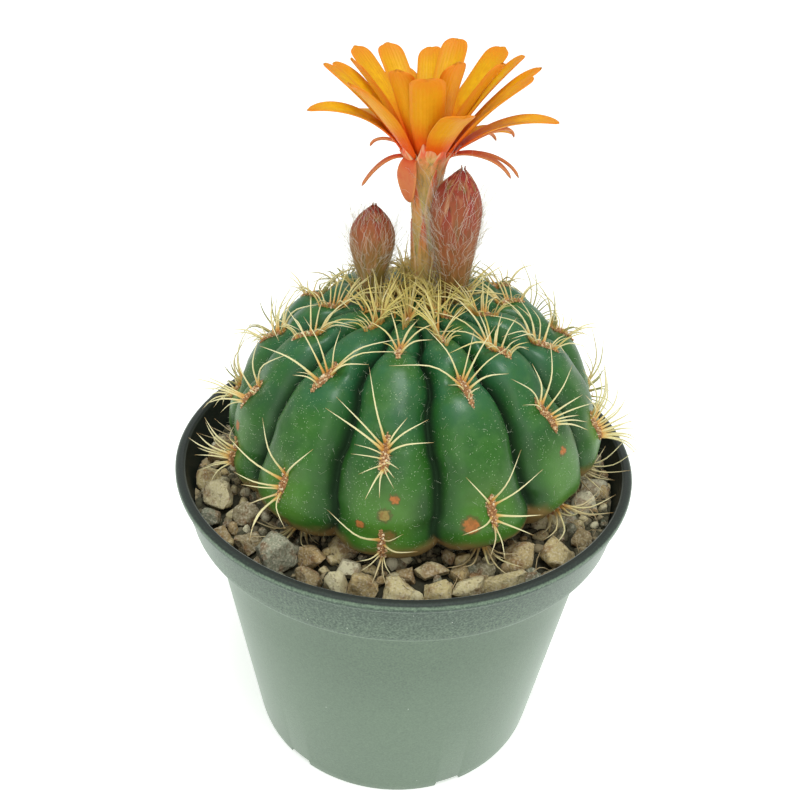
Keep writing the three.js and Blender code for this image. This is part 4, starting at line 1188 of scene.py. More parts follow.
def spine_line(areole, angle, length, tilt, random):
    """A spine's guide: from inside the pad, out of it and off in a slight bow."""
    angle = math.radians(angle)
    tilt = math.radians(tilt)
    heading = areole.side * math.sin(angle) + areole.up * math.cos(angle)
    foot = areole.skin(math.cos(angle) * PAD_HALF_LENGTH * 0.7,
                       math.sin(angle) * PAD_HALF_WIDTH * 0.55, PAD_HEIGHT * 0.5)
    direction = areole.lean(heading, tilt)
    steeper = areole.lean(heading, tilt * 0.72)
    sway = np.cross(direction, areole.out) * random.normal(0, 0.05)
    bow = areole.up * (0.05 * length) + sway * length
    middle = foot + steeper * length * 0.48
    tip = foot + direction * length * 0.96 + bow
    line = np.array([foot - areole.out * 1.3, foot, middle, tip])
    reach = from_axis(line)
    allowed = np.where(line[:, 2] < POT_HEIGHT + 1, WALL_REACH, SPINE_REACH)
    line[:, :2] *= np.minimum(1, allowed / reach)[:, None]
    return line


def spine_guides(seed):
    """Every areole's spines, with how thick and how old each is."""
    random = np.random.default_rng(seed)
    guides = []
    for areole in AREOLES:
        mirror = random.choice([-1, 1])
        pattern = SPINE_PATTERN
        spread = 1
        key = (areole.rib, areole.from_crown)
        if key in TRACED_SPINES:
            mirror, pattern, spread = 1, TRACED_SPINES[key], 0
        elif areole.crown_share > 0.6:
            pattern = SPINE_PATTERN + [
                (random.normal(0, 55), random.uniform(11, 17), random.uniform(30, 72))
                for _ in range(EXTRA_SPINES)]
        for angle, length, tilt in pattern:
            angle = mirror * angle + random.normal(0, 7) * spread
            length *= (1 - 0.3 * areole.crown_share) * (1 + random.normal(0, 0.1) * spread)
            tilt = tilt - 16 * areole.crown_share + random.normal(0, 6) * spread
            line = spine_line(areole, angle, length, tilt, random)
            thick = random.uniform(0.75, 1.1) * (0.8 if length < 8 else 1.0)
            guides.append((line, thick, areole.from_crown / 80 + random.normal(0, 0.08)))
    return guides


def crown_guides(seed):
    """Young spines that crowd round the crown's centre and lean out over the ribs."""
    random = np.random.default_rng(seed)
    guides = []
    for _ in range(CROWN_SPINES):
        rib = random.integers(len(RIBS))
        areole = Areole(int(rib), random.choice(CROWN_RINGS) + random.normal(0, 0.5))
        tilt = math.radians(random.uniform(12, 74))
        turn = random.normal(0, 0.9)
        heading = areole.side * math.sin(turn) - areole.up * math.cos(turn)
        length = random.uniform(7, 15)
        foot = areole.skin(0.0, random.uniform(-0.9, 0.9))
        direction = areole.lean(heading, tilt)
        middle = foot + unit(direction + areole.out * 0.14) * length * 0.5
        tip = foot + direction * length - np.array([0, 0, 0.03 * length])
        line = np.array([foot - areole.out, foot, middle, tip])
        guides.append((line, random.uniform(0.75, 1.35), random.uniform(0, 0.3)))
    return guides


def spine_finish(settings):
    """Straw spines with orange-brown feet, yellower where young and browner where old."""
    finish = Finish("spine")
    along = finish.read("along")
    age = finish.read("age")
    finish.shade(along + (finish.noise(2, 2) - 0.5) * 0.1,
                 (0.1, settings.foot), (0.19, 222, 188, 112), (0.3, settings.straw),
                 (0.84, 236, 228, 180), (0.98, 206, 170, 112))
    young = age.step(0.42, 0.1)
    finish.coat(young * along.step(0.5, 0.2) * 0.8, settings.foot)
    finish.coat(young * along.step(0.18, 0.5) * 0.75, settings.young)
    finish.coat(age.step(0.84, 1.05) * 0.4, paint(150, 100, 62))
    return finish.surface(0.45, finish.noise(0.5, 2), 0.02, specular_ior_level=0.4)


class CACTUS_OT_spines(bpy.types.Operator):
    """Makes the spines of every areole and of the crown"""

    bl_idname = "cactus.make_spines"
    bl_label = "Make spines"

    def execute(self, context):
        settings = context.scene.cactus_spines
        finish = spine_finish(settings)
        spines = grow_needles("spines", spine_guides(settings.seed), finish,
                              radius=settings.radius, swell=0.7, steps=10, sides=6)
        dress(spines, "cactus_skin", "cactus_body")
        crown = grow_needles("crown_spines", crown_guides(settings.seed + 1), finish,
                             radius=settings.radius, steps=7, sides=5)
        dress(crown, "cactus_skin", "cactus_body")
        return {"FINISHED"}


# Stones
# Rings and columns of the grit bed, and how the loose stones are stretched
BED_ROWS = 46
BED_COLUMNS = 240
STONE_STRETCH = (1.15, 0.95, 0.75)
# How far from the body's axis the grit sets in, and from where on stones lie
GRIT_FROM_BODY = (33, 36)
STONES_FROM_BODY = 42
# Dry fibres in all and at the right side, and there their middle azimuth and its spread
FIBRES = 34
FIBRES_AT_RIGHT = 26
FIBRES_AZIMUTH = (78, 24)
# How near the axis and how far from it a fibre may lie
FIBRE_REACH = (46, 54.5)

# How much fuller a stone's rough form is than its length, depth and height
STONE_FULLNESS = 1.12

# Stones that show in front: place from the pot's axis, length, depth, height, turn and tone
FRONT_STONES = [
    (-8.3, -48.2, 6.6, 6.4, 7.4, 0, 0.5), (-0.2, -48.8, 9.6, 7, 6.4, 5, 0.34),
    (7.9, -48.6, 7, 6, 6, -10, 0.4), (15.6, -47, 9.6, 6, 5.8, 12, 0.3),
    (24.4, -44.6, 10.8, 6.4, 6, 30, 0.36), (-20.4, -45.2, 7, 6.4, 6.2, -20, 0.62),
    (-14, -46.6, 5.8, 6, 6.8, 15, 0.2), (-12.4, -41, 6, 5.6, 6.4, 10, 0.12),
    (-29.6, -39.6, 9, 8.4, 11, -35, 0.82), (-20.8, -37.6, 7.4, 6, 6.4, -30, 0.55),
    (-36.6, -33.6, 6.4, 6, 5.6, 20, 0.66), (-38.8, -23, 6, 6, 6, 40, 0.7),
    (-46.7, -16.4, 10, 7.4, 6.4, -60, 0.26), (-51.4, -7.4, 7, 6, 5.8, 80, 0.38),
    (-51.4, 3.4, 8, 7, 6.8, 85, 0.58), (28.4, -36, 8.8, 7, 6.6, 35, 0.48),
    (37.1, -34.2, 9.4, 8, 8.6, 48, 0.44), (20, -39.8, 6.2, 5.4, 4.8, 25, 0.74),
    (6.6, -41, 8.6, 6, 4.8, 8, 0.3), (-47.8, -24.4, 5.8, 5.4, 5, -50, 0.86),
    (-44, -31, 6.6, 5.6, 5, -40, 0.6), (44.4, -27.4, 6.4, 5.6, 5, 60, 0.64),
    (34.6, -41.4, 6, 5, 4.6, 40, 0.7), (31.2, -43.2, 5, 4.6, 4.4, 20, 0.9),
    (-27.4, -46, 5, 4.8, 4.4, -30, 0.9), (-33.6, -40.8, 4.6, 4.4, 4.2, -40, 0.72),
    (1.6, -42.6, 5, 4.6, 4.4, 0, 0.6), (14, -41.6, 5.6, 5, 4.6, 15, 0.5),
]


def stone_finish():
    """Broken pumice and lava stones, each in its own tone, with brown stains."""
    finish = Finish("stone")
    grain = finish.noise(0.55, 4)
    finish.shade(
        finish.read("tone"), (0.05, 214, 210, 180), (0.22, 208, 198, 156),
        (0.4, 198, 182, 132), (0.56, 174, 148, 102), (0.68, 146, 134, 102),
        (0.82, 146, 148, 126), (0.98, 94, 98, 80))
    finish.coat(finish.noise(3.4, 5).step(0.5, 0.66) * 0.65, paint(130, 90, 54))
    finish.coat(grain.step(0.44, 0.7) * 0.5, paint(228, 218, 192))
    finish.coat(finish.noise(0.9, 3).step(0.56, 0.68) * 0.5, paint(104, 80, 52))
    pores = finish.cells(0.9).step(0.22, 0.04) * finish.noise(2.4, 2).step(0.4, 0.6)
    finish.coat(pores * 0.6, paint(88, 68, 48))
    bump = grain * 0.6 + finish.noise(1.6, 3) * 0.8 - pores * 0.5
    return finish.surface(0.9, bump, 0.4, specular_ior_level=0.3)


def grit_finish(settings):
    """Dark damp grit with pale specks."""
    finish = Finish("grit")
    grain = finish.noise(0.9, 5)
    finish.shade(finish.read("tone") * 0.75 + grain * 0.25, (0.1, dim(settings.grit, 0.4)),
                 (0.45, settings.grit), (0.7, 122, 114, 92), (0.88, 176, 160, 124))
    bump = grain + finish.noise(0.35, 2) * 0.4
    return finish.surface(0.92, bump, 0.3, specular_ior_level=0.3)


def fibre_finish():
    """Dry straw-coloured fibres."""
    finish = Finish("dry_fibre")
    finish.shade(finish.noise(3, 2), (0.3, 150, 126, 86), (0.7, 206, 186, 142))
    return finish.surface(0.8)


def bed_height(x, y):
    """The bed's top: higher in front, lower at the left and behind."""
    slope = -0.022 * y + 0.012 * x
    return BED_TOP + np.clip(slope, -1.3, 1.2)


def bed_shape():
    """The grit bed between the body and the wall, as a closed ring."""
    shape = Shape()
    radii = np.linspace(BED_INNER_RADIUS, BED_RADIUS, BED_ROWS)[:, None]
    azimuth = azimuths(BED_COLUMNS)[None, :]
    directions = outward_at(azimuth * np.ones_like(radii))
    top = directions * radii[..., None]
    height = bed_height(top[..., 0], top[..., 1])
    lumps = 0.45 * ripple(top, 5.5, 21) + 0.25 * ripple(top, 2.2, 22)
    edge = smooth_step(radii, BED_RADIUS - 1.5, BED_RADIUS) * 0.8
    top[..., 2] = np.maximum(height + lumps - edge, BED_BOTTOM + 0.4)
    bottom = top[::-1].copy()
    bottom[..., 2] = BED_BOTTOM
    rings = np.concatenate([top, bottom])
    columns = rings.shape[1]
    last = (len(rings) - 1) * columns
    faces = grid_faces(len(rings), columns)
    faces += [(last + i, last + (i + 1) % columns, (i + 1) % columns, i)
              for i in range(columns)]
    from_body = from_axis(top, *BODY_CENTRE[:2])
    free = smooth_step(from_body, *GRIT_FROM_BODY)
    for x, y, length, depth, *_ in FRONT_STONES:
        gap = from_axis(top, x, y) - (length + depth) / 4
        free *= smooth_step(gap, 0.2, 1.6)
    mask = np.concatenate([free, np.zeros_like(free)])
    shape.add(rings, faces, mask=mask)
    return shape


def front_stones():
    """The stones in front, each one in its place."""
    shape = Shape()
    for number, (x, y, length, depth, height, turn, tone) in enumerate(FRONT_STONES):
        random = np.random.default_rng(300 + number)
        points, faces = stone_form(random, 4, 13, 0.045)
        points = points * np.array([length, depth, height]) / 2 * STONE_FULLNESS
        tip = Matrix.Rotation(random.normal(0, 0.22), 3, "X")
        spin = Matrix.Rotation(math.radians(turn), 3, "Z")
        points = points @ np.array(spin @ tip).T
        base = float(bed_height(x, y))
        points += (x, y, base + height * 0.32)
        shape.add(points, faces, tone=tone)
    return shape


def press_in(piece):
    """Presses flat what lies against the pot's wall, so that nothing reaches into it."""
    places = places_of(piece.data)
    reach = from_axis(places)
    places[:, :2] *= np.minimum(1, BED_RADIUS * MM / reach)[:, None]
    piece.data.vertices.foreach_set("co", places.ravel())
    return piece


def strew(name, bed, material, stones, **sizes):
    """Strews stones over the bed where its mask lets them lie."""
    return press_in(grow("scatter", name, bed, material, Pieces=stones, **sizes))


def fill_mask(points, clearance, outermost):
    """Where loose pieces lie: outside the body and clear of the stones in front."""
    from_body = from_axis(points, *BODY_CENTRE[:2])
    free = (from_axis(points) < outermost) & (from_body > STONES_FROM_BODY)
    free &= points[:, 2] > BED_BOTTOM + 0.1
    for x, y, length, depth, *_ in FRONT_STONES:
        reach = STONE_FULLNESS * (length + depth) / 4 + clearance
        free &= from_axis(points, x, y) > reach
    return free.astype(float)


def fibre_guides(seed):
    """Dry fibres that lie on the gravel, most of them at its right side."""
    random = np.random.default_rng(seed)
    guides = []
    for number in range(FIBRES):
        at_right = number < FIBRES_AT_RIGHT
        azimuth = random.normal(*FIBRES_AZIMUTH) if at_right else random.uniform(-180, 180)
        start = outward_at(azimuth) * random.uniform(47, 54)
        heading = outward_at(random.uniform(0, 360))
        length = random.uniform(5, 15)
        bend = np.cross(heading, (0, 0, 1)) * random.normal(0, 0.22)
        steps = np.linspace(0, 1, 5)[:, None]
        line = start + heading * steps * length + bend * length * np.sin(steps * math.pi)
        reach = from_axis(line)
        line[:, :2] *= np.clip(reach, *FIBRE_REACH)[:, None] / reach[:, None]
        rise = np.array([0.8, 2.6, 3.4, 2.8, 1.2]) * random.uniform(0.7, 1.2)
        line[:, 2] = bed_height(line[:, 0], line[:, 1]) + rise
        guides.append((line, random.uniform(0.5, 1.2)))
    return guides


class CACTUS_OT_gravel(bpy.types.Operator):
    """Makes the grit bed and the stones round the plant"""

    bl_idname = "cactus.make_gravel"
    bl_label = "Make gravel"

    def execute(self, context):
        settings = context.scene.cactus_gravel
        grit = grit_finish(settings)
        stone = stone_finish()
        bed = bed_shape().make("gravel_bed", grit)
        pieces = [bed]
        pieces.append(strew(
            "gravel_grit", bed, grit, grains(), spacing=1.05 * MM, density=2e6,
            smallest=settings.smallest / 2, largest=settings.largest / 2, lift=0.3 * MM,
            seed=settings.seed))
        pieces.append(press_in(front_stones().make("gravel_stones", stone)))
        add_mask(bed, lambda points: fill_mask(points, 2.8, 52.6))
        pieces.append(strew(
            "gravel_fill", bed, stone,
            loose_stones("stones", 8, 200, STONE_STRETCH, subdivisions=3, cuts=12,
                         roughness=0.04),
            spacing=5.6 * MM, density=4e5, smallest=2.6 * MM, largest=4.6 * MM,
            lift=0.9 * MM, seed=settings.seed + 3))
        add_mask(bed, lambda points: fill_mask(points, 0.0, 55.0))
        pieces.append(strew(
            "gravel_chips", bed, stone,
            loose_stones("chips", 8, 240, STONE_STRETCH, subdivisions=2, cuts=12,
                         roughness=0.04),
            spacing=2.7 * MM, density=4e5, smallest=1.2 * MM, largest=2.3 * MM,
            lift=1.2 * MM, seed=settings.seed + 7))
        pieces.append(grow_needles("dry_fibres", fibre_guides(settings.seed + 9),
                                   fibre_finish(), radius=0.16 * MM, tip_share=0.4, steps=8,
                                   sides=5))
        for piece in pieces:
            dress(piece, "gravel", "gravel")
        return {"FINISHED"}


# Pot
def pot_profile():
    """The wall's outline from the floor's underside round the lip to the floor's top."""
    base, waist, collar, rim = BASE_RADIUS, WAIST_RADIUS, COLLAR_RADIUS, RIM_RADIUS
    foot = base - FOOT_WIDTH
    inside = rim - LIP_WIDTH
    ledge = COLLAR_Z + LEDGE_LIFT
    floor = FOOT_HEIGHT + FLOOR
    slope = (waist - base) / COLLAR_Z
    return [
        (0.5, FOOT_HEIGHT), (foot - 0.6, FOOT_HEIGHT), (foot - 0.2, 2.0), (foot, 1.6),
        (foot, 0.3), (foot + 0.3, 0.0), (base - 0.5, 0.0), (base - 0.15, 0.15), (base, 0.5),
        (base + slope * 3, 3.0), (base + slope * 30, 30.0), (base + slope * 60, 60.0),
        (base + slope * 73.6, 73.6), (waist + 0.05, 74.5), (waist + 0.5, 75.0),
        (collar - 0.9, 75.15), (collar - 0.25, 75.4), (collar + 0.02, 76.0),
        (collar + 0.2, 77.5), (rim - 0.75, 86.3), (rim - 0.6, 86.9), (rim - 0.12, 87.3),
        (rim, 87.9), (rim - 0.05, 88.6), (rim - 0.45, 89.05), (rim - 0.9, POT_HEIGHT),
        (inside + 0.5, POT_HEIGHT - 0.05), (inside + 0.1, POT_HEIGHT - 0.4),
        (inside, POT_HEIGHT - 0.9), (inside - 0.1, POT_HEIGHT - LIP_DEPTH),
        (collar - COLLAR_WALL, ledge + LEDGE_RISE), (waist - WALL + 0.6, ledge + 0.3),
        (waist - WALL, ledge - 0.6), (base - WALL + 1.2, 8.0), (base - WALL + 0.3, floor + 0.6),
        (base - WALL - 0.3, floor), (0.5, floor),
    ]


def pot_shape():
    """The pot's lathed wall, whose foot is raised where its notches are."""
    steps = np.arange(POT_SIDES) * 360 / POT_SIDES
    notches = FIRST_NOTCH_AZIMUTH + np.arange(FOOT_NOTCHES) * 360 / FOOT_NOTCHES
    half = math.degrees(NOTCH_WIDTH / 2 / BASE_RADIUS)
    edges = [(notch + side * (half + shift)) % 360
             for notch in notches for side in (-1, 1) for shift in (-0.35, 0.35)]
    azimuth = np.unique(np.concatenate([steps, edges]))
    away = np.abs((azimuth[:, None] - notches + 180) % 360 - 180).min(axis=1)
    notched = away < half
    profile = np.array(pot_profile())
    rings = lathe(profile, azimuth)
    ring_foot = profile[:, 0] > BASE_RADIUS - FOOT_WIDTH - 0.1
    low = ring_foot & (profile[:, 1] < 1.8)
    notch_top = FOOT_HEIGHT - 0.5
    rings[np.ix_(low, notched)] = np.where(
        np.array([False, False, True]), notch_top, rings[np.ix_(low, notched)])
    shape = Shape()
    shape.add_tube(rings)
    return shape


def cut(piece, cutter):
    """Cuts one object's form out of another."""
    modifier = piece.modifiers.new("cut", "BOOLEAN")
    modifier.object = cutter
    modifier.operation = "DIFFERENCE"
    modifier.solver = "EXACT"
    piece.data = evaluated_mesh(piece)
    piece.modifiers.remove(modifier)
    bpy.data.objects.remove(cutter)


def pot_finish(settings):
    """Dark moulded plastic with a fine grain. Dust and a painted reflection of the floor make it
    paler lower down, painted highlights line its edges and painted shade darkens its inside.
    """
    finish = Finish("pot_plastic")
    height = finish.height()
    speckle = finish.noise(0.5, 3)
    cloud = finish.noise(22, 4)
    collar = height.step(87.5, 76.5)
    under_collar = height.step(75.6, 72)
    wall = height.step(72, 30)
    # How pale the plastic is. It grows down the pot, partly from dust and partly as a painted
    # reflection of the pale floor on the lower wall
    dust_and_reflection = 0.08 + collar * 0.13 + under_collar * 0.1 + wall * 0.06
    grain = (speckle - 0.5) * (0.5 + 0.7 * height.step(74, 77))
    dust_and_reflection = dust_and_reflection + (cloud - 0.5) * 0.14 + grain
    # Painted highlights: pale lines along the collar's lower edge and the lip's outer edge
    collar_highlight = (height - COLLAR_HIGHLIGHT_Z).size().step(0.7, 0.2)
    lip_highlight = (height - LIP_HIGHLIGHT_Z).size().step(0.5, 0.2)
    finish.colour = finish.mix(dust_and_reflection + collar_highlight * 0.22 + lip_highlight * 0.3,
                               settings.plastic, settings.dust_and_sheen)
    across = finish.add("ShaderNodeVectorMath", {"operation": "MULTIPLY"},
                        {0: finish.place, 1: (1.0, 1.0, 0.0)})
    radius = finish.add("ShaderNodeVectorMath", {"operation": "LENGTH"},
                        {0: across}, "Value") * (1 / MM)
    finish.coat(height.step(88.6, 88.95) * 0.8, settings.dark)
    # Painted shade: the wall's inside below the lip is darkened where the rim shades it
    inside = (radius - height * 0.21).step(40.5, 39.9) * height.step(75.7, 76.2)
    finish.coat(inside * 0.9, settings.dark)
    specks = finish.cells(4.2).step(0.045, 0.02) * finish.noise(16, 2).step(0.5, 0.6)
    finish.coat(specks * 0.8, paint(226, 232, 222))
    roughness = 0.46 + 0.14 * cloud + 0.1 * speckle
    bump = finish.noise(0.42, 2) * 0.7 + finish.noise(3, 2) * 0.3
    outer = finish.shader(roughness, bump, 0.05, specular_ior_level=0.5, sheen_weight=0.62,
                          sheen_roughness=0.35, sheen_tint=(0.93, 1.0, 0.94))
    inner = finish.shader(roughness, bump, 0.05, specular_ior_level=0.3)
    shaded = inside * height.step(88.8, 88.2)
    return finish.end(finish.add("ShaderNodeMixShader", None, {0: shaded, 1: outer, 2: inner}))


def drain_holes():
    """The columns that are cut out of the floor."""
    shape = Shape()
    for spot in outward_at(np.arange(DRAIN_HOLES) * 360 / DRAIN_HOLES) * DRAIN_RING_RADIUS:
        ring = outward_at(azimuths(DRAIN_SIDES)) * DRAIN_RADIUS + spot
        shape.add_tube(np.stack([ring + (0, 0, -2), ring + (0, 0, 9)]))
    return shape


def soil_finish():
    """Dark crumbly soil."""
    finish = Finish("soil")
    grain = finish.noise(2.5, 6)
    finish.shade(grain, (0.3, 38, 30, 24), (0.7, 84, 68, 54))
    return finish.surface(0.95, grain, 0.8)


class CACTUS_OT_pot(bpy.types.Operator):
    """Makes the moulded pot and finishes the soil in it"""

    bl_idname = "cactus.make_pot"
    bl_label = "Make pot"

    def execute(self, context):
        pot = pot_shape().make("pot_wall", pot_finish(context.scene.cactus_pot))
        cut(pot, drain_holes().make("hole_cutter"))
        pot.data.shade_smooth()
        pot.data.set_sharp_from_angle(angle=math.radians(38))
        dress(pot, "pot", "pot")
        soil = soil_finish()
        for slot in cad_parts["soil"].material_slots:
            slot.material = soil
        return {"FINISHED"}


# Petals, sepals and scales
TUBE_AXIS = unit(np.subtract(TUBE_LINE[1], TUBE_LINE[0]))
CUP_BASE = np.array(TUBE_LINE[1]) + TUBE_AXIS * GAP


def blade_rings(root, tip, outward, width, start_rise, end_rise, *, thickness, cup=0.35,
                blunt=2.0, tip_share=0.8, foot_share=0.36, full_share=0.62, ragged=0.0,
                twist=0.0, seed=0):
    """A leaf-like blade from root to tip, as rings round its section. It leaves and
    arrives at the given rises above the horizontal."""
    random = np.random.default_rng(seed)
    share = 1 - (1 - np.linspace(0, 1, BLADE_ROWS)) ** 1.5
    run = tip - root
    length = np.linalg.norm(run)
    up = np.array([0.0, 0.0, 1.0])
    leave, arrive = (
        (outward * math.cos(rise) + up * math.sin(rise)) * length
        for rise in (math.radians(start_rise), math.radians(end_rise))
    )
    t = share[:, None]
    line = (root * (2 * t ** 3 - 3 * t ** 2 + 1) + leave * (t ** 3 - 2 * t ** 2 + t)
            + tip * (3 * t ** 2 - 2 * t ** 3) + arrive * (t ** 3 - t ** 2))
    tangent = unit(np.gradient(line, axis=0))
    flat_side = unit(np.cross(up, outward))
    lean = (share * math.radians(twist))[:, None]
    through = unit(np.cross(tangent, flat_side))
    side = flat_side * np.cos(lean) + through * np.sin(lean)
    through = unit(np.cross(tangent, side))
    opening = foot_share + (1 - foot_share) * smooth_step(share, 0, full_share)
    past = np.clip((share - tip_share) / (1 - tip_share), 0, 1)
    closing = np.maximum(1 - past ** blunt, 0) ** (1 / blunt)
    half = np.maximum(width / 2 * opening * closing * np.minimum(share * 12, 1), 0.04)
    angle = np.linspace(0, 2 * math.pi, BLADE_SIDES, endpoint=False)
    across = np.cos(angle)
    lens = np.sign(np.sin(angle)) * np.abs(np.sin(angle)) ** 0.8
    fade = np.minimum(half / (width * 0.2), 1)
    depth = thickness / 2 * fade[:, None] * lens
    depth = depth + cup * width * (half[:, None] / width * across) ** 2
    groove = 0.13 * np.exp(-(across / 0.2) ** 2) * (half / width * 2)[:, None]
    waves = 0.03 * width * np.sin(share[:, None] * 9 + across * 2 + random.uniform(0, 6))
    depth = depth - groove + waves * (half / width)[:, None] * np.abs(across)
    nibble = ragged * np.sin(across * 3.3 + random.uniform(0, 6))
    nibble = nibble * smooth_step(share, 0.8, 1)[:, None]
    rings = (line[:, None] + side[:, None] * (half[:, None] * across)[..., None]
             + through[:, None] * depth[..., None]
             + tangent[:, None] * (nibble * length)[..., None])
    values = {
        "along": share[:, None] * np.ones(BLADE_SIDES),
        "across": np.abs(across) * np.ones((BLADE_ROWS, 1)),
        "inside": (lens > 0) * np.ones((BLADE_ROWS, 1)),
        "tone": random.uniform(0, 1),
    }
    return rings, values


def petal_rings(petal, ring_radius, ring_z, seed, **form):
    """A petal from the ring under the corolla to the tip that its row names."""
    azimuth, tip_rise, distance, width, arch = petal[:5]
    outward = outward_at(float(azimuth))
    rise = math.radians(tip_rise)
    root = np.array([*CUP_BASE[:2], ring_z]) + outward * ring_radius
    tip = COROLLA_CENTRE + outward * math.cos(rise) * distance
    tip[2] += math.sin(rise) * distance
    run = tip - root
    chord = math.degrees(math.atan2(run[2], run @ outward))
    bend = math.degrees(math.atan(arch * math.pi))
    start = form.pop("start_rise", chord + bend)
    end = form.pop("end_rise", chord - bend)
    return blade_rings(root, tip, outward, width, start, end, seed=seed, **form)


def petal_finish(settings):
    """Silky petals: deep orange at the heart, amber inside with a yellower middle that is partly
    a painted highlight, orange edges and backs, and a faint painted glow.
    """
    finish = Finish("petal")
    along = finish.read("along")
    across = finish.read("across")
    streak = finish.noise(1.6, 3)
    uneven = streak - 0.5
    finish.colour = finish.mix(finish.read("tone") * 0.25, settings.amber, settings.edge)
    # A yellower middle down each petal: partly the petal's own colour, partly a painted highlight
    yellow = across.step(0.75, 0.2) * along.step(0.25, 0.5) * along.step(0.95, 0.7)
    finish.coat(yellow * streak.step(0.3, 0.7) * 0.6, paint(238, 190, 10))
    finish.coat((across + uneven * 0.5).step(0.6, 1.0) * 0.5, settings.edge)
    finish.coat((along + uneven * 0.12).step(0.78, 1.0) * 0.7, settings.edge)
    back = 1 - finish.read("inside")
    finish.coat(back * (0.35 + 0.3 * streak), settings.edge)
    finish.coat((along + uneven * 0.16).step(0.56, 0.18) * 0.92, settings.heart)
    veins = (across * 26).sine() * 0.5 + 0.5
    # The petals glow faintly in their own colour: painted light
    return finish.surface(0.5, veins * 0.6 + streak * 0.4, 0.06, subsurface_weight=0.25,
                          subsurface_radius=(1.0, 0.6, 0.2), subsurface_scale=0.8 * MM,
                          specular_ior_level=0.18, emission_color=finish.colour,
                          emission_strength=0.03)


def coral_finish(settings):
    """Sepals in coral that pale towards their edges."""
    finish = Finish("sepal")
    along = finish.read("along")
    streak = finish.noise(1.8, 3)
    finish.colour = finish.mix(along.step(0.1, 0.6), settings.coral, paint(212, 122, 72))
    finish.coat(finish.read("across").step(0.6, 1.0) * 0.5, paint(220, 154, 88))
    finish.coat(streak.step(0.5, 0.7) * 0.4, paint(206, 78, 52))
    finish.coat(along.step(0.9, 1.0) * 0.6, paint(150, 96, 60))
    return finish.surface(0.55, streak, 0.05, subsurface_weight=0.2,
                          subsurface_radius=(1.0, 0.4, 0.2), subsurface_scale=0.8 * MM,
                          specular_ior_level=0.25)


def petal_shape(thickness):
    """The petals in their three layers."""
    shape = Shape()
    seed = 0
    for petals, ring, rise, form in PETAL_LAYERS:
        for azimuth, tip_rise, distance, width, arch in petals:
            seed += 1
            twist = np.random.default_rng(seed).normal(0, 9)
            petal = (azimuth, tip_rise, distance, width * PETAL_FULLNESS, arch)
            rings, values = petal_rings(petal, ring, CUP_BASE[2] + rise, seed,
                                        thickness=thickness, twist=twist, foot_share=0.62,
                                        full_share=0.55, **form)
            shape.add_tube(rings, **values)
    return shape


def cup_rings():
    """The cup under the petals, which carries them."""
    foot = TUBE_RADII[-1]
    profile = [
        (0.2, 0), (foot - 0.4, 0), (foot, 0.3), (foot + 0.4, 1.4), (CUP_RADIUS, CUP_HEIGHT),
        (CUP_RADIUS - 0.6, CUP_HEIGHT + 0.2), (CUP_RADIUS - 1.6, 1.4), (0.2, 1.2),
    ]
    return lathe(profile, azimuths(STEM_SIDES)) + CUP_BASE


class CACTUS_OT_petals(bpy.types.Operator):
    """Makes the open flower's petals and their cup"""

    bl_idname = "cactus.make_petals"
    bl_label = "Make petals"

    def execute(self, context):
        settings = context.scene.cactus_flower
        petals = petal_shape(settings.thickness / MM).make("petals", petal_finish(settings))
        dress(petals, "petal", "flower_petals")
        shape = Shape()
        shape.add_tube(cup_rings(), along=0.75)
        cup = shape.make("flower_cup", tube_finish(settings))
        dress(cup, "flower_tube", "flower_petals")
        return {"FINISHED"}


# Stems and what is pressed to them
def stem_frame(line, radii, shares):
    """Centres, radii and cross directions along a stem."""
    centres = smooth_curve(line, shares)
    ahead = smooth_curve(line, np.clip(shares + 0.01, 0, 1))
    behind = smooth_curve(line, np.clip(shares - 0.01, 0, 1))
    tangent = unit(ahead - behind)
    side = unit(np.cross(np.array([0.0, 1.0, 0.0]), tangent))
    front = np.cross(tangent, side)
    radius = smooth_curve(np.array(radii, float)[:, None], shares)[:, 0]
    return centres, tangent, side, front, radius


def stem_points(line, radii, shares, azimuth, lift=0.0):
    """Points on a stem's surface, by their share of its length and their azimuth."""
    centres, _, side, front, radius = stem_frame(line, radii, shares)
    angle = np.radians(azimuth)
    reach = (radius[:, None] + lift)[..., None]
    return centres[:, None] + reach * (side[:, None] * np.sin(angle)[..., None]
                                       - front[:, None] * np.cos(angle)[..., None])


def stem_rings(line, radii, rows, tip):
    """A stem's rings, closed at both ends, with a fine lengthwise ribbing."""
    shares = np.linspace(0, 1, rows)
    azimuth = azimuths(STEM_SIDES)[None] * np.ones((rows, 1))
    ribbing = 0.09 * np.sin(np.radians(azimuth * 9)) + 0.05 * np.sin(np.radians(azimuth * 17))
    body = stem_points(line, radii, shares, azimuth, ribbing)
    start, end = (smooth_curve(line, share)[0] for share in (0.0, 1.0))
    tangent = stem_frame(line, radii, np.array([1.0]))[1][0]
    closing = [end + (body[-1] - end) * share + tangent * tip * lift
               for share, lift in ((0.72, 0.42), (0.35, 0.8), (0.06, 1.0))]
    opening = start + (body[0] - start) * 0.06
    rings = np.concatenate([opening[None], body, np.array(closing)])
    along = np.concatenate([[0], shares, [1, 1, 1]])[:, None] * np.ones(STEM_SIDES)
    return rings, along


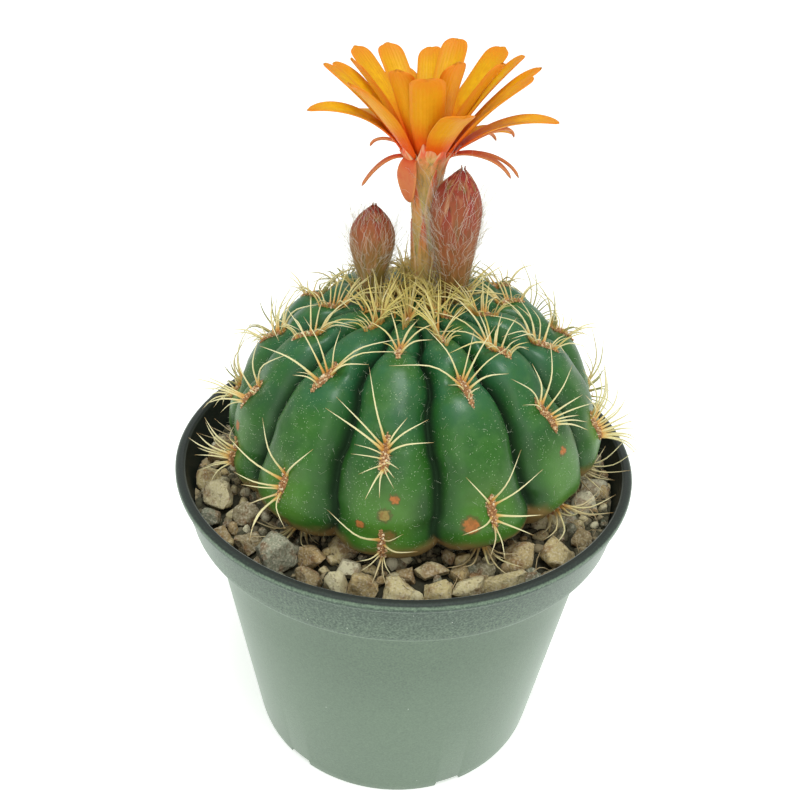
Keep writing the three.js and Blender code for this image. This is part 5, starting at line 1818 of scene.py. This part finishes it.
def pressed_scale(line, radii, azimuth, first, last, width, lift, point=1.6, closing_in=0.0,
                  swell=0.3):
    """A narrow scale that lies along a stem, as rings round its section. Past the stem's
    end it leans in to the axis over the share closing_in."""
    shares = np.linspace(first, last, SCALE_ROWS)
    t = np.linspace(0, 1, SCALE_ROWS)
    opening = 0.55 + 0.45 * smooth_step(t, 0, 0.3)
    closing = np.maximum(1 - np.clip((t - 0.35) / 0.65, 0, 1) ** point, 0)
    half = np.maximum(width / 2 * opening * closing, 0.05)
    radius = smooth_curve(np.array(radii, float)[:, None], np.clip(shares, 0, 1))[:, 0]
    angle = np.linspace(0, 2 * math.pi, SCALE_SIDES, endpoint=False)
    across = np.cos(angle)
    outer = np.maximum(np.sin(angle), 0) ** 0.7
    raised = (0.12 + swell * np.sin(t * math.pi) ** 0.6 + lift * t ** 2)[:, None]
    depth = np.where(np.sin(angle) >= 0, raised * outer + lift * (t ** 2)[:, None] * 0.5,
                     lift * (t ** 2)[:, None] * 0.5 - 0.35 * (1 - t[:, None] ** 3))
    spread = np.degrees(half / np.maximum(radius, 1.2))[:, None] * across
    if closing_in:
        depth = depth - (radius * np.clip((shares - 1) / closing_in, 0, 0.85))[:, None]
    rings = stem_points(line, radii, np.minimum(shares, 1), azimuth + spread, depth)
    beyond = np.maximum(shares - 1, 0)[:, None, None]
    length = np.linalg.norm(np.subtract(line[-1], line[0]))
    tangent = stem_frame(line, radii, np.array([1.0]))[1]
    rings = rings + tangent * beyond * length
    along = t[:, None] * np.ones(len(angle))
    return rings, {"along": along, "point": along, "tone": azimuth % 7 / 7,
                   "across": np.abs(across) * np.ones((SCALE_ROWS, 1))}


def tube_finish(settings):
    """Yellowish tan tube with orange streaks."""
    finish = Finish("flower_tube")
    streak = finish.noise(1.5, 4, 0.16)
    finish.shade(streak, (0.34, 182, 172, 96), (0.45, 226, 202, 126),
                 (0.56, 214, 156, 74), (0.68, 236, 220, 162))
    finish.coat(finish.read("along").step(0.8, 1.0) * 0.35, settings.coral)
    return finish.surface(0.65, streak, 0.2, specular_ior_level=0.25)


def scale_finish(name, root, middle, tip, pale, point):
    """Dry scales with a dark midrib, pale papery edges and fine lengthwise lines."""
    finish = Finish(name)
    across = finish.read("across")
    streak = finish.noise(0.9, 4, 0.16)
    uneven = streak - 0.5
    finish.shade(finish.read("along") + uneven * 0.3 + (finish.read("tone") - 0.5) * 0.15,
                 (0.08, root), (0.45, middle), (0.8, tip))
    finish.coat(across.step(0.25, 0.02) * 0.35, paint(112, 72, 40))
    finish.coat(streak.step(0.54, 0.66) * 0.4, pale)
    finish.coat(streak.step(0.46, 0.36) * 0.35, paint(96, 72, 42))
    finish.coat((across + uneven * 0.4).step(0.6, 0.95) * 0.75, pale)
    finish.coat(finish.read("point").step(0.93, 0.99) * 0.8, point)
    return finish.surface(0.6, streak, 0.16, specular_ior_level=0.25)


def hair_finish():
    """Silky hairs, white with some tan."""
    return thread_finish("silky_hair", "tone", 0.5, (0.1, 186, 172, 146),
                         (0.5, 220, 214, 196), (0.9, 244, 240, 230))


# The tube and the cup as one line, for the scales that lie on both
FUNNEL_LINE = [TUBE_LINE[0], tuple(CUP_BASE + TUBE_AXIS * 4.4)]
FUNNEL_RADII = [3.3, 3.05, 3.0, 3.0, 3.1, 3.4, 4.3, 6.0]

# Scales on the tube: azimuth, first and last share of the line, width and lift of the tip
TUBE_SCALES = [
    (60, 0.12, 0.5, 3.0, 0.3), (-70, 0.16, 0.56, 3.2, 0.3), (-5, 0.2, 0.6, 3.2, 0.3),
    (150, 0.2, 0.6, 3.2, 0.3), (-125, 0.28, 0.66, 3.2, 0.3), (95, 0.34, 0.74, 3.4, 0.4),
    (-40, 0.38, 0.8, 3.6, 0.4), (28, 0.42, 0.86, 3.8, 0.5), (-150, 0.44, 0.84, 3.6, 0.4),
    (72, 0.56, 0.98, 4.4, 0.5), (-88, 0.56, 0.96, 4.2, 0.4), (165, 0.58, 1.0, 4.4, 0.5),
    (-6, 0.6, 1.08, 5.6, 0.4), (-122, 0.62, 1.0, 4.4, 0.4), (122, 0.64, 1.0, 4.4, 0.4),
    (34, 0.66, 1.06, 5.0, 0.6), (-52, 0.7, 1.05, 4.8, 0.5), (8, 0.78, 1.1, 4.0, 0.7),
]


def sepal_shape():
    """The turned-back outer sepals and two dried threads beside them."""
    shape = Shape()
    for seed, sepal in enumerate(SEPALS):
        start, end = sepal[5:]
        rings, values = petal_rings(sepal, SEPAL_RING_RADIUS, SEPAL_RING_Z, 70 + seed,
                                    thickness=0.7, tip_share=0.4, blunt=1.8, foot_share=0.6,
                                    start_rise=start, end_rise=end, cup=0.3)
        shape.add_tube(rings, **values)
    return shape


class CACTUS_OT_tube(bpy.types.Operator):
    """Makes the flower's tube with its scales, sepals and hairs"""

    bl_idname = "cactus.make_tube"
    bl_label = "Make tube"

    def execute(self, context):
        settings = context.scene.cactus_flower
        stem = Shape()
        rings, along = stem_rings(TUBE_LINE, TUBE_RADII, rows=40, tip=0.0)
        mask = smooth_step(along, 0.02, 0.2) * (1 - smooth_step(along, 0.86, 0.97))
        stem.add_tube(rings, along=along, mask=mask)
        tube = stem.make("tube", tube_finish(settings))
        dress(tube, "flower_tube", "flower_tube")
        scales = Shape()
        for azimuth, *form in TUBE_SCALES:
            rings, values = pressed_scale(FUNNEL_LINE, FUNNEL_RADII, azimuth, *form)
            scales.add_tube(rings, **values)
        finish = scale_finish("tube_scale", paint(212, 192, 112), paint(224, 176, 100),
                              paint(232, 104, 68), paint(238, 206, 156),
                              paint(222, 110, 84))
        dress(scales.make("tube_scales", finish), "flower_tube", "flower_tube")
        sepals = sepal_shape().make("sepals", coral_finish(settings))
        dress(sepals, "flower_tube", "flower_tube")
        hairs = grow("fuzz", "tube_hairs", tube, hair_finish(), density=4.2e5,
                     length=5.0 * MM, length_spread=0.5, stand=0.22, rise=0.8, scatter=0.4,
                     curl=4.0 * MM, radius=0.04 * MM, steps=8, seed=6)
        dress(hairs, "flower_tube")
        return {"FINISHED"}


# Buds
def bud_finish(name, settings, redness):
    """A bud's wall: olive at the foot, tan in the middle and red near the tip."""
    finish = Finish(name)
    streak = finish.noise(1.3, 4, 0.14)
    shade = finish.read("along") + (streak - 0.5) * 0.35
    finish.colour = finish.mix(shade.step(0.3, 0.55), settings.olive, settings.tan)
    finish.coat(shade.step(0.55, 0.85), finish.mix(redness, settings.tan, settings.red))
    return finish.surface(0.55, streak, 0.2)


def bud_scales(line, radii, redness, seed):
    """The scales that close over a bud in a spiral, and the small ones at its tip."""
    shape = Shape()
    length = np.linalg.norm(np.subtract(line[-1], line[0]))
    for number in range(BUD_SCALES):
        share = number / BUD_SCALES
        first = 0.1 + 0.5 * share
        last = min(first + BUD_SCALE_LENGTH / length, 1.0 + 0.05 * share)
        width = 4.4 + 2.8 * math.sin(share * math.pi) ** 0.7
        rings, values = pressed_scale(line, radii, seed + number * GOLDEN_ANGLE, first, last,
                                      width, 0.12, point=2.4, closing_in=0.055, swell=0.16)
        values["along"] = values["along"] * 0.6 + first * 0.85 - 0.1 - 0.35 * (1 - redness)
        shape.add_tube(rings, **values)
    for number in range(BUD_TIP_SCALES):
        rings, values = pressed_scale(line, radii, seed + number * BUD_TIP_TURN, 0.86,
                                      1.04 + number % 3 * 0.012, 1.2, 0.1, closing_in=0.05)
        shape.add_tube(rings, **values)
    return shape


def make_bud(size, line, radii, settings, redness, seed):
    """One bud: its wall, the scales that close over it, its tip and its hairs."""
    node = f"bud_{size}"
    wall = Shape()
    rings, along = stem_rings(line, radii, rows=48, tip=1.2)
    mask = 0.6 * smooth_step(along, 0.05, 0.2) + 0.4 * smooth_step(along, 0.3, 0.5)
    mask = mask * (1 - 0.9 * smooth_step(along, 0.5, 0.85))
    wall.add_tube(rings, along=along, mask=mask)
    body = wall.make(node + "_wall", bud_finish(node, settings, redness))
    dress(body, "bud", node)
    finish = scale_finish(node + "_scale", settings.olive, settings.tan, settings.red,
                          settings.pale, paint(84, 44, 32))
    scales = bud_scales(line, radii, redness, seed).make(node + "_scales", finish)
    dress(scales, "bud", node)
    hairs = grow("fuzz", node + "_hairs", body, hair_finish(), density=1.5e6,
                 length=settings.hair_length, length_spread=0.6, stand=0.13, rise=1.0,
                 scatter=0.55, curl=5.0 * MM, radius=0.036 * MM, steps=10, seed=seed)
    dress(hairs, "bud")


class CACTUS_OT_buds(bpy.types.Operator):
    """Makes the two buds with their scales and silky hairs"""

    bl_idname = "cactus.make_buds"
    bl_label = "Make buds"

    def execute(self, context):
        settings = context.scene.cactus_buds
        make_bud("large", LARGE_BUD_LINE, LARGE_BUD_RADII, settings, 1.0, 12)
        make_bud("small", SMALL_BUD_LINE, SMALL_BUD_RADII, settings, 0.75, 30)
        return {"FINISHED"}


# Stamens
def stamen_parts():
    """The stamens', style's and stigma's guide lines, and the anthers on the stamens."""
    random = np.random.default_rng(17)
    foot = CUP_BASE + (0, 0, 3.0)
    anthers = Shape()
    guides = []
    points, faces = ball(1)
    for number in range(STAMENS):
        outward = outward_at(number * GOLDEN_ANGLE)
        root = foot + outward * (0.9 + 1.3 * random.uniform())
        tilt = 0.1 + 0.34 * random.uniform()
        length = random.uniform(6.5, 9.2)
        tip = root + outward * math.sin(tilt) * length
        tip[2] = root[2] + math.cos(tilt) * length
        guides.append((np.array([root, (root + tip) / 2 - outward * 0.5, tip]), 0.5))
        anthers.add(points * (0.38, 0.38, 0.62) + tip, faces, tone=random.uniform())
    top = foot + (0, 0, STYLE_LENGTH)
    guides.append((np.array([foot, (foot + top) / 2, top]), 2.0))
    for number in range(STIGMA_LOBES):
        outward = outward_at(number * 360 / STIGMA_LOBES)
        lobe = [top - (0, 0, 0.4), top + outward * 1.1 + (0, 0, 0.9),
                top + outward * 1.9 + (0, 0, 2.0)]
        guides.append((np.array(lobe), 1.3))
    return guides, anthers


def pollen_finish():
    """Yellow powdery pollen."""
    finish = Finish("anther")
    finish.shade(finish.read("tone"), (0.2, 238, 190, 60), (0.8, 250, 224, 120))
    return finish.surface(0.85, finish.noise(0.2, 2), 0.05)


class CACTUS_OT_stamens(bpy.types.Operator):
    """Makes the stamens, the style and its stigma inside the flower"""

    bl_idname = "cactus.make_stamens"
    bl_label = "Make stamens"

    def execute(self, _context):
        guides, anthers = stamen_parts()
        filament = thread_finish("filament", "along", 0.5, (0.1, 238, 132, 40),
                                 (0.6, 244, 206, 96), (0.95, 246, 232, 150))
        threads = grow_needles("stamens", guides, filament, radius=0.3 * MM, tip_share=0.7,
                               steps=7, sides=6)
        dress(threads, "stamen", "flower_stamens")
        dress(anthers.make("anthers", pollen_finish()), "stamen", "flower_stamens")
        return {"FINISHED"}


# Stage
def floor_finish(settings):
    """A plain pale floor that glows a little more away from the plant."""
    finish = Finish("floor")
    finish.colour = finish.mix(finish.noise(300, 2) * 0.3, settings.floor,
                               paint(240, 243, 240))
    glow = finish.distance_from((0, 0, 0)).step(250, 1600)
    shine = finish.mix(glow, paint(188, 190, 188), paint(214, 216, 214))
    return finish.surface(0.8, specular_ior_level=0.2, emission_color=shine,
                          emission_strength=1.0)


def add_lamp(name, place, size, power, colour):
    """A large soft square lamp that faces the plant."""
    light = bpy.data.lights.new(name, "AREA")
    light.size = size
    light.energy = power
    light.color = colour
    lamp = add_object(name, light)
    lamp.location = place
    aim = Vector((0, 0, 0.09)) - Vector(place)
    lamp.rotation_euler = aim.to_track_quat("-Z", "Y").to_euler()


def add_camera(lens):
    """The camera: in front of the plant, well above it, and rolled a little."""
    elevation = math.radians(CAMERA_ELEVATION)
    roll = math.radians(CAMERA_ROLL)
    target = Vector(CAMERA_TARGET) * MM
    back = Vector((0, -math.cos(elevation), math.sin(elevation)))
    level = Vector((1, 0, 0))
    upright = back.cross(level)
    right = level * math.cos(roll) + upright * math.sin(roll)
    top = upright * math.cos(roll) - level * math.sin(roll)
    data = bpy.data.cameras.new("camera")
    data.lens = lens
    data.clip_start = 0.01
    camera = add_object("camera", data)
    turn = Matrix((right, top, back)).transposed().to_4x4()
    camera.matrix_world = Matrix.Translation(target + back * (CAMERA_DISTANCE * MM)) @ turn
    bpy.context.scene.camera = camera


class CACTUS_OT_stage(bpy.types.Operator):
    """Makes the floor, the lights and the camera"""

    bl_idname = "cactus.make_stage"
    bl_label = "Make stage"

    def execute(self, context):
        settings = context.scene.cactus_stage
        scene = context.scene
        scene.view_settings.view_transform = "Standard"
        mesh = bpy.data.meshes.new("floor")
        corners = [(x * FLOOR_HALF, y * FLOOR_HALF, 0)
                   for x, y in ((-1, -1), (1, -1), (1, 1), (-1, 1))]
        mesh.from_pydata(corners, [], [(0, 1, 2, 3)])
        add_object("floor", mesh, floor_finish(settings))
        world = bpy.data.worlds.new("studio")
        world.use_nodes = True
        sky = world.node_tree.nodes["Background"]
        sky.inputs["Color"].default_value = (0.99, 1.0, 0.98, 1)
        sky.inputs["Strength"].default_value = 0.6
        scene.world = world
        add_lamp("overhead", (0.08, -0.32, 1.4), 0.5, settings.lamp, (0.94, 0.98, 1.0))
        add_lamp("front", (-0.1, -1.3, 0.7), 0.8, settings.lamp * 0.3, (1.0, 0.98, 0.95))
        add_camera(settings.lens)
        return {"FINISHED"}


class CACTUS_PT_panel(bpy.types.Panel):
    """Lists the steps and settings of the potted cactus"""

    bl_idname = "CACTUS_PT_panel"
    bl_label = "Potted cactus"
    bl_space_type = "VIEW_3D"
    bl_region_type = "UI"
    bl_category = "Cactus"

    def draw(self, context):
        for operator in OPERATORS:
            self.layout.operator(operator.bl_idname)
        for name, group in SETTINGS.items():
            box = self.layout.box()
            box.label(text=name.replace("cactus_", "").capitalize())
            for setting in group.__annotations__:
                box.prop(getattr(context.scene, name), setting)


SETTINGS = {
    "cactus_stage": StageSettings, "cactus_pot": PotSettings, "cactus_gravel": GravelSettings,
    "cactus_skin": SkinSettings, "cactus_spines": SpineSettings,
    "cactus_flower": FlowerSettings, "cactus_buds": BudSettings,
}
OPERATORS = (
    CACTUS_OT_stage, CACTUS_OT_pot, CACTUS_OT_gravel, CACTUS_OT_body, CACTUS_OT_areoles,
    CACTUS_OT_spines, CACTUS_OT_petals, CACTUS_OT_stamens, CACTUS_OT_tube, CACTUS_OT_buds,
)


def register():
    for group in (*SETTINGS.values(), *OPERATORS, CACTUS_PT_panel):
        bpy.utils.register_class(group)
    for name, group in SETTINGS.items():
        setattr(bpy.types.Scene, name, PointerProperty(type=group))


def unregister():
    for name in SETTINGS:
        delattr(bpy.types.Scene, name)
    for group in reversed((*SETTINGS.values(), *OPERATORS, CACTUS_PT_panel)):
        bpy.utils.unregister_class(group)


def main():
    """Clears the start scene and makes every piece."""
    for name in ("Cube", "Light", "Camera"):
        if name in bpy.data.objects:
            bpy.data.objects.remove(bpy.data.objects[name])
    register()
    bpy.ops.cactus.make_stage()
    bpy.ops.cactus.make_pot()
    bpy.ops.cactus.make_gravel()
    bpy.ops.cactus.make_body()
    bpy.ops.cactus.make_areoles()
    bpy.ops.cactus.make_spines()
    bpy.ops.cactus.make_petals()
    bpy.ops.cactus.make_stamens()
    bpy.ops.cactus.make_tube()
    bpy.ops.cactus.make_buds()


if __name__ == "__main__":
    main()
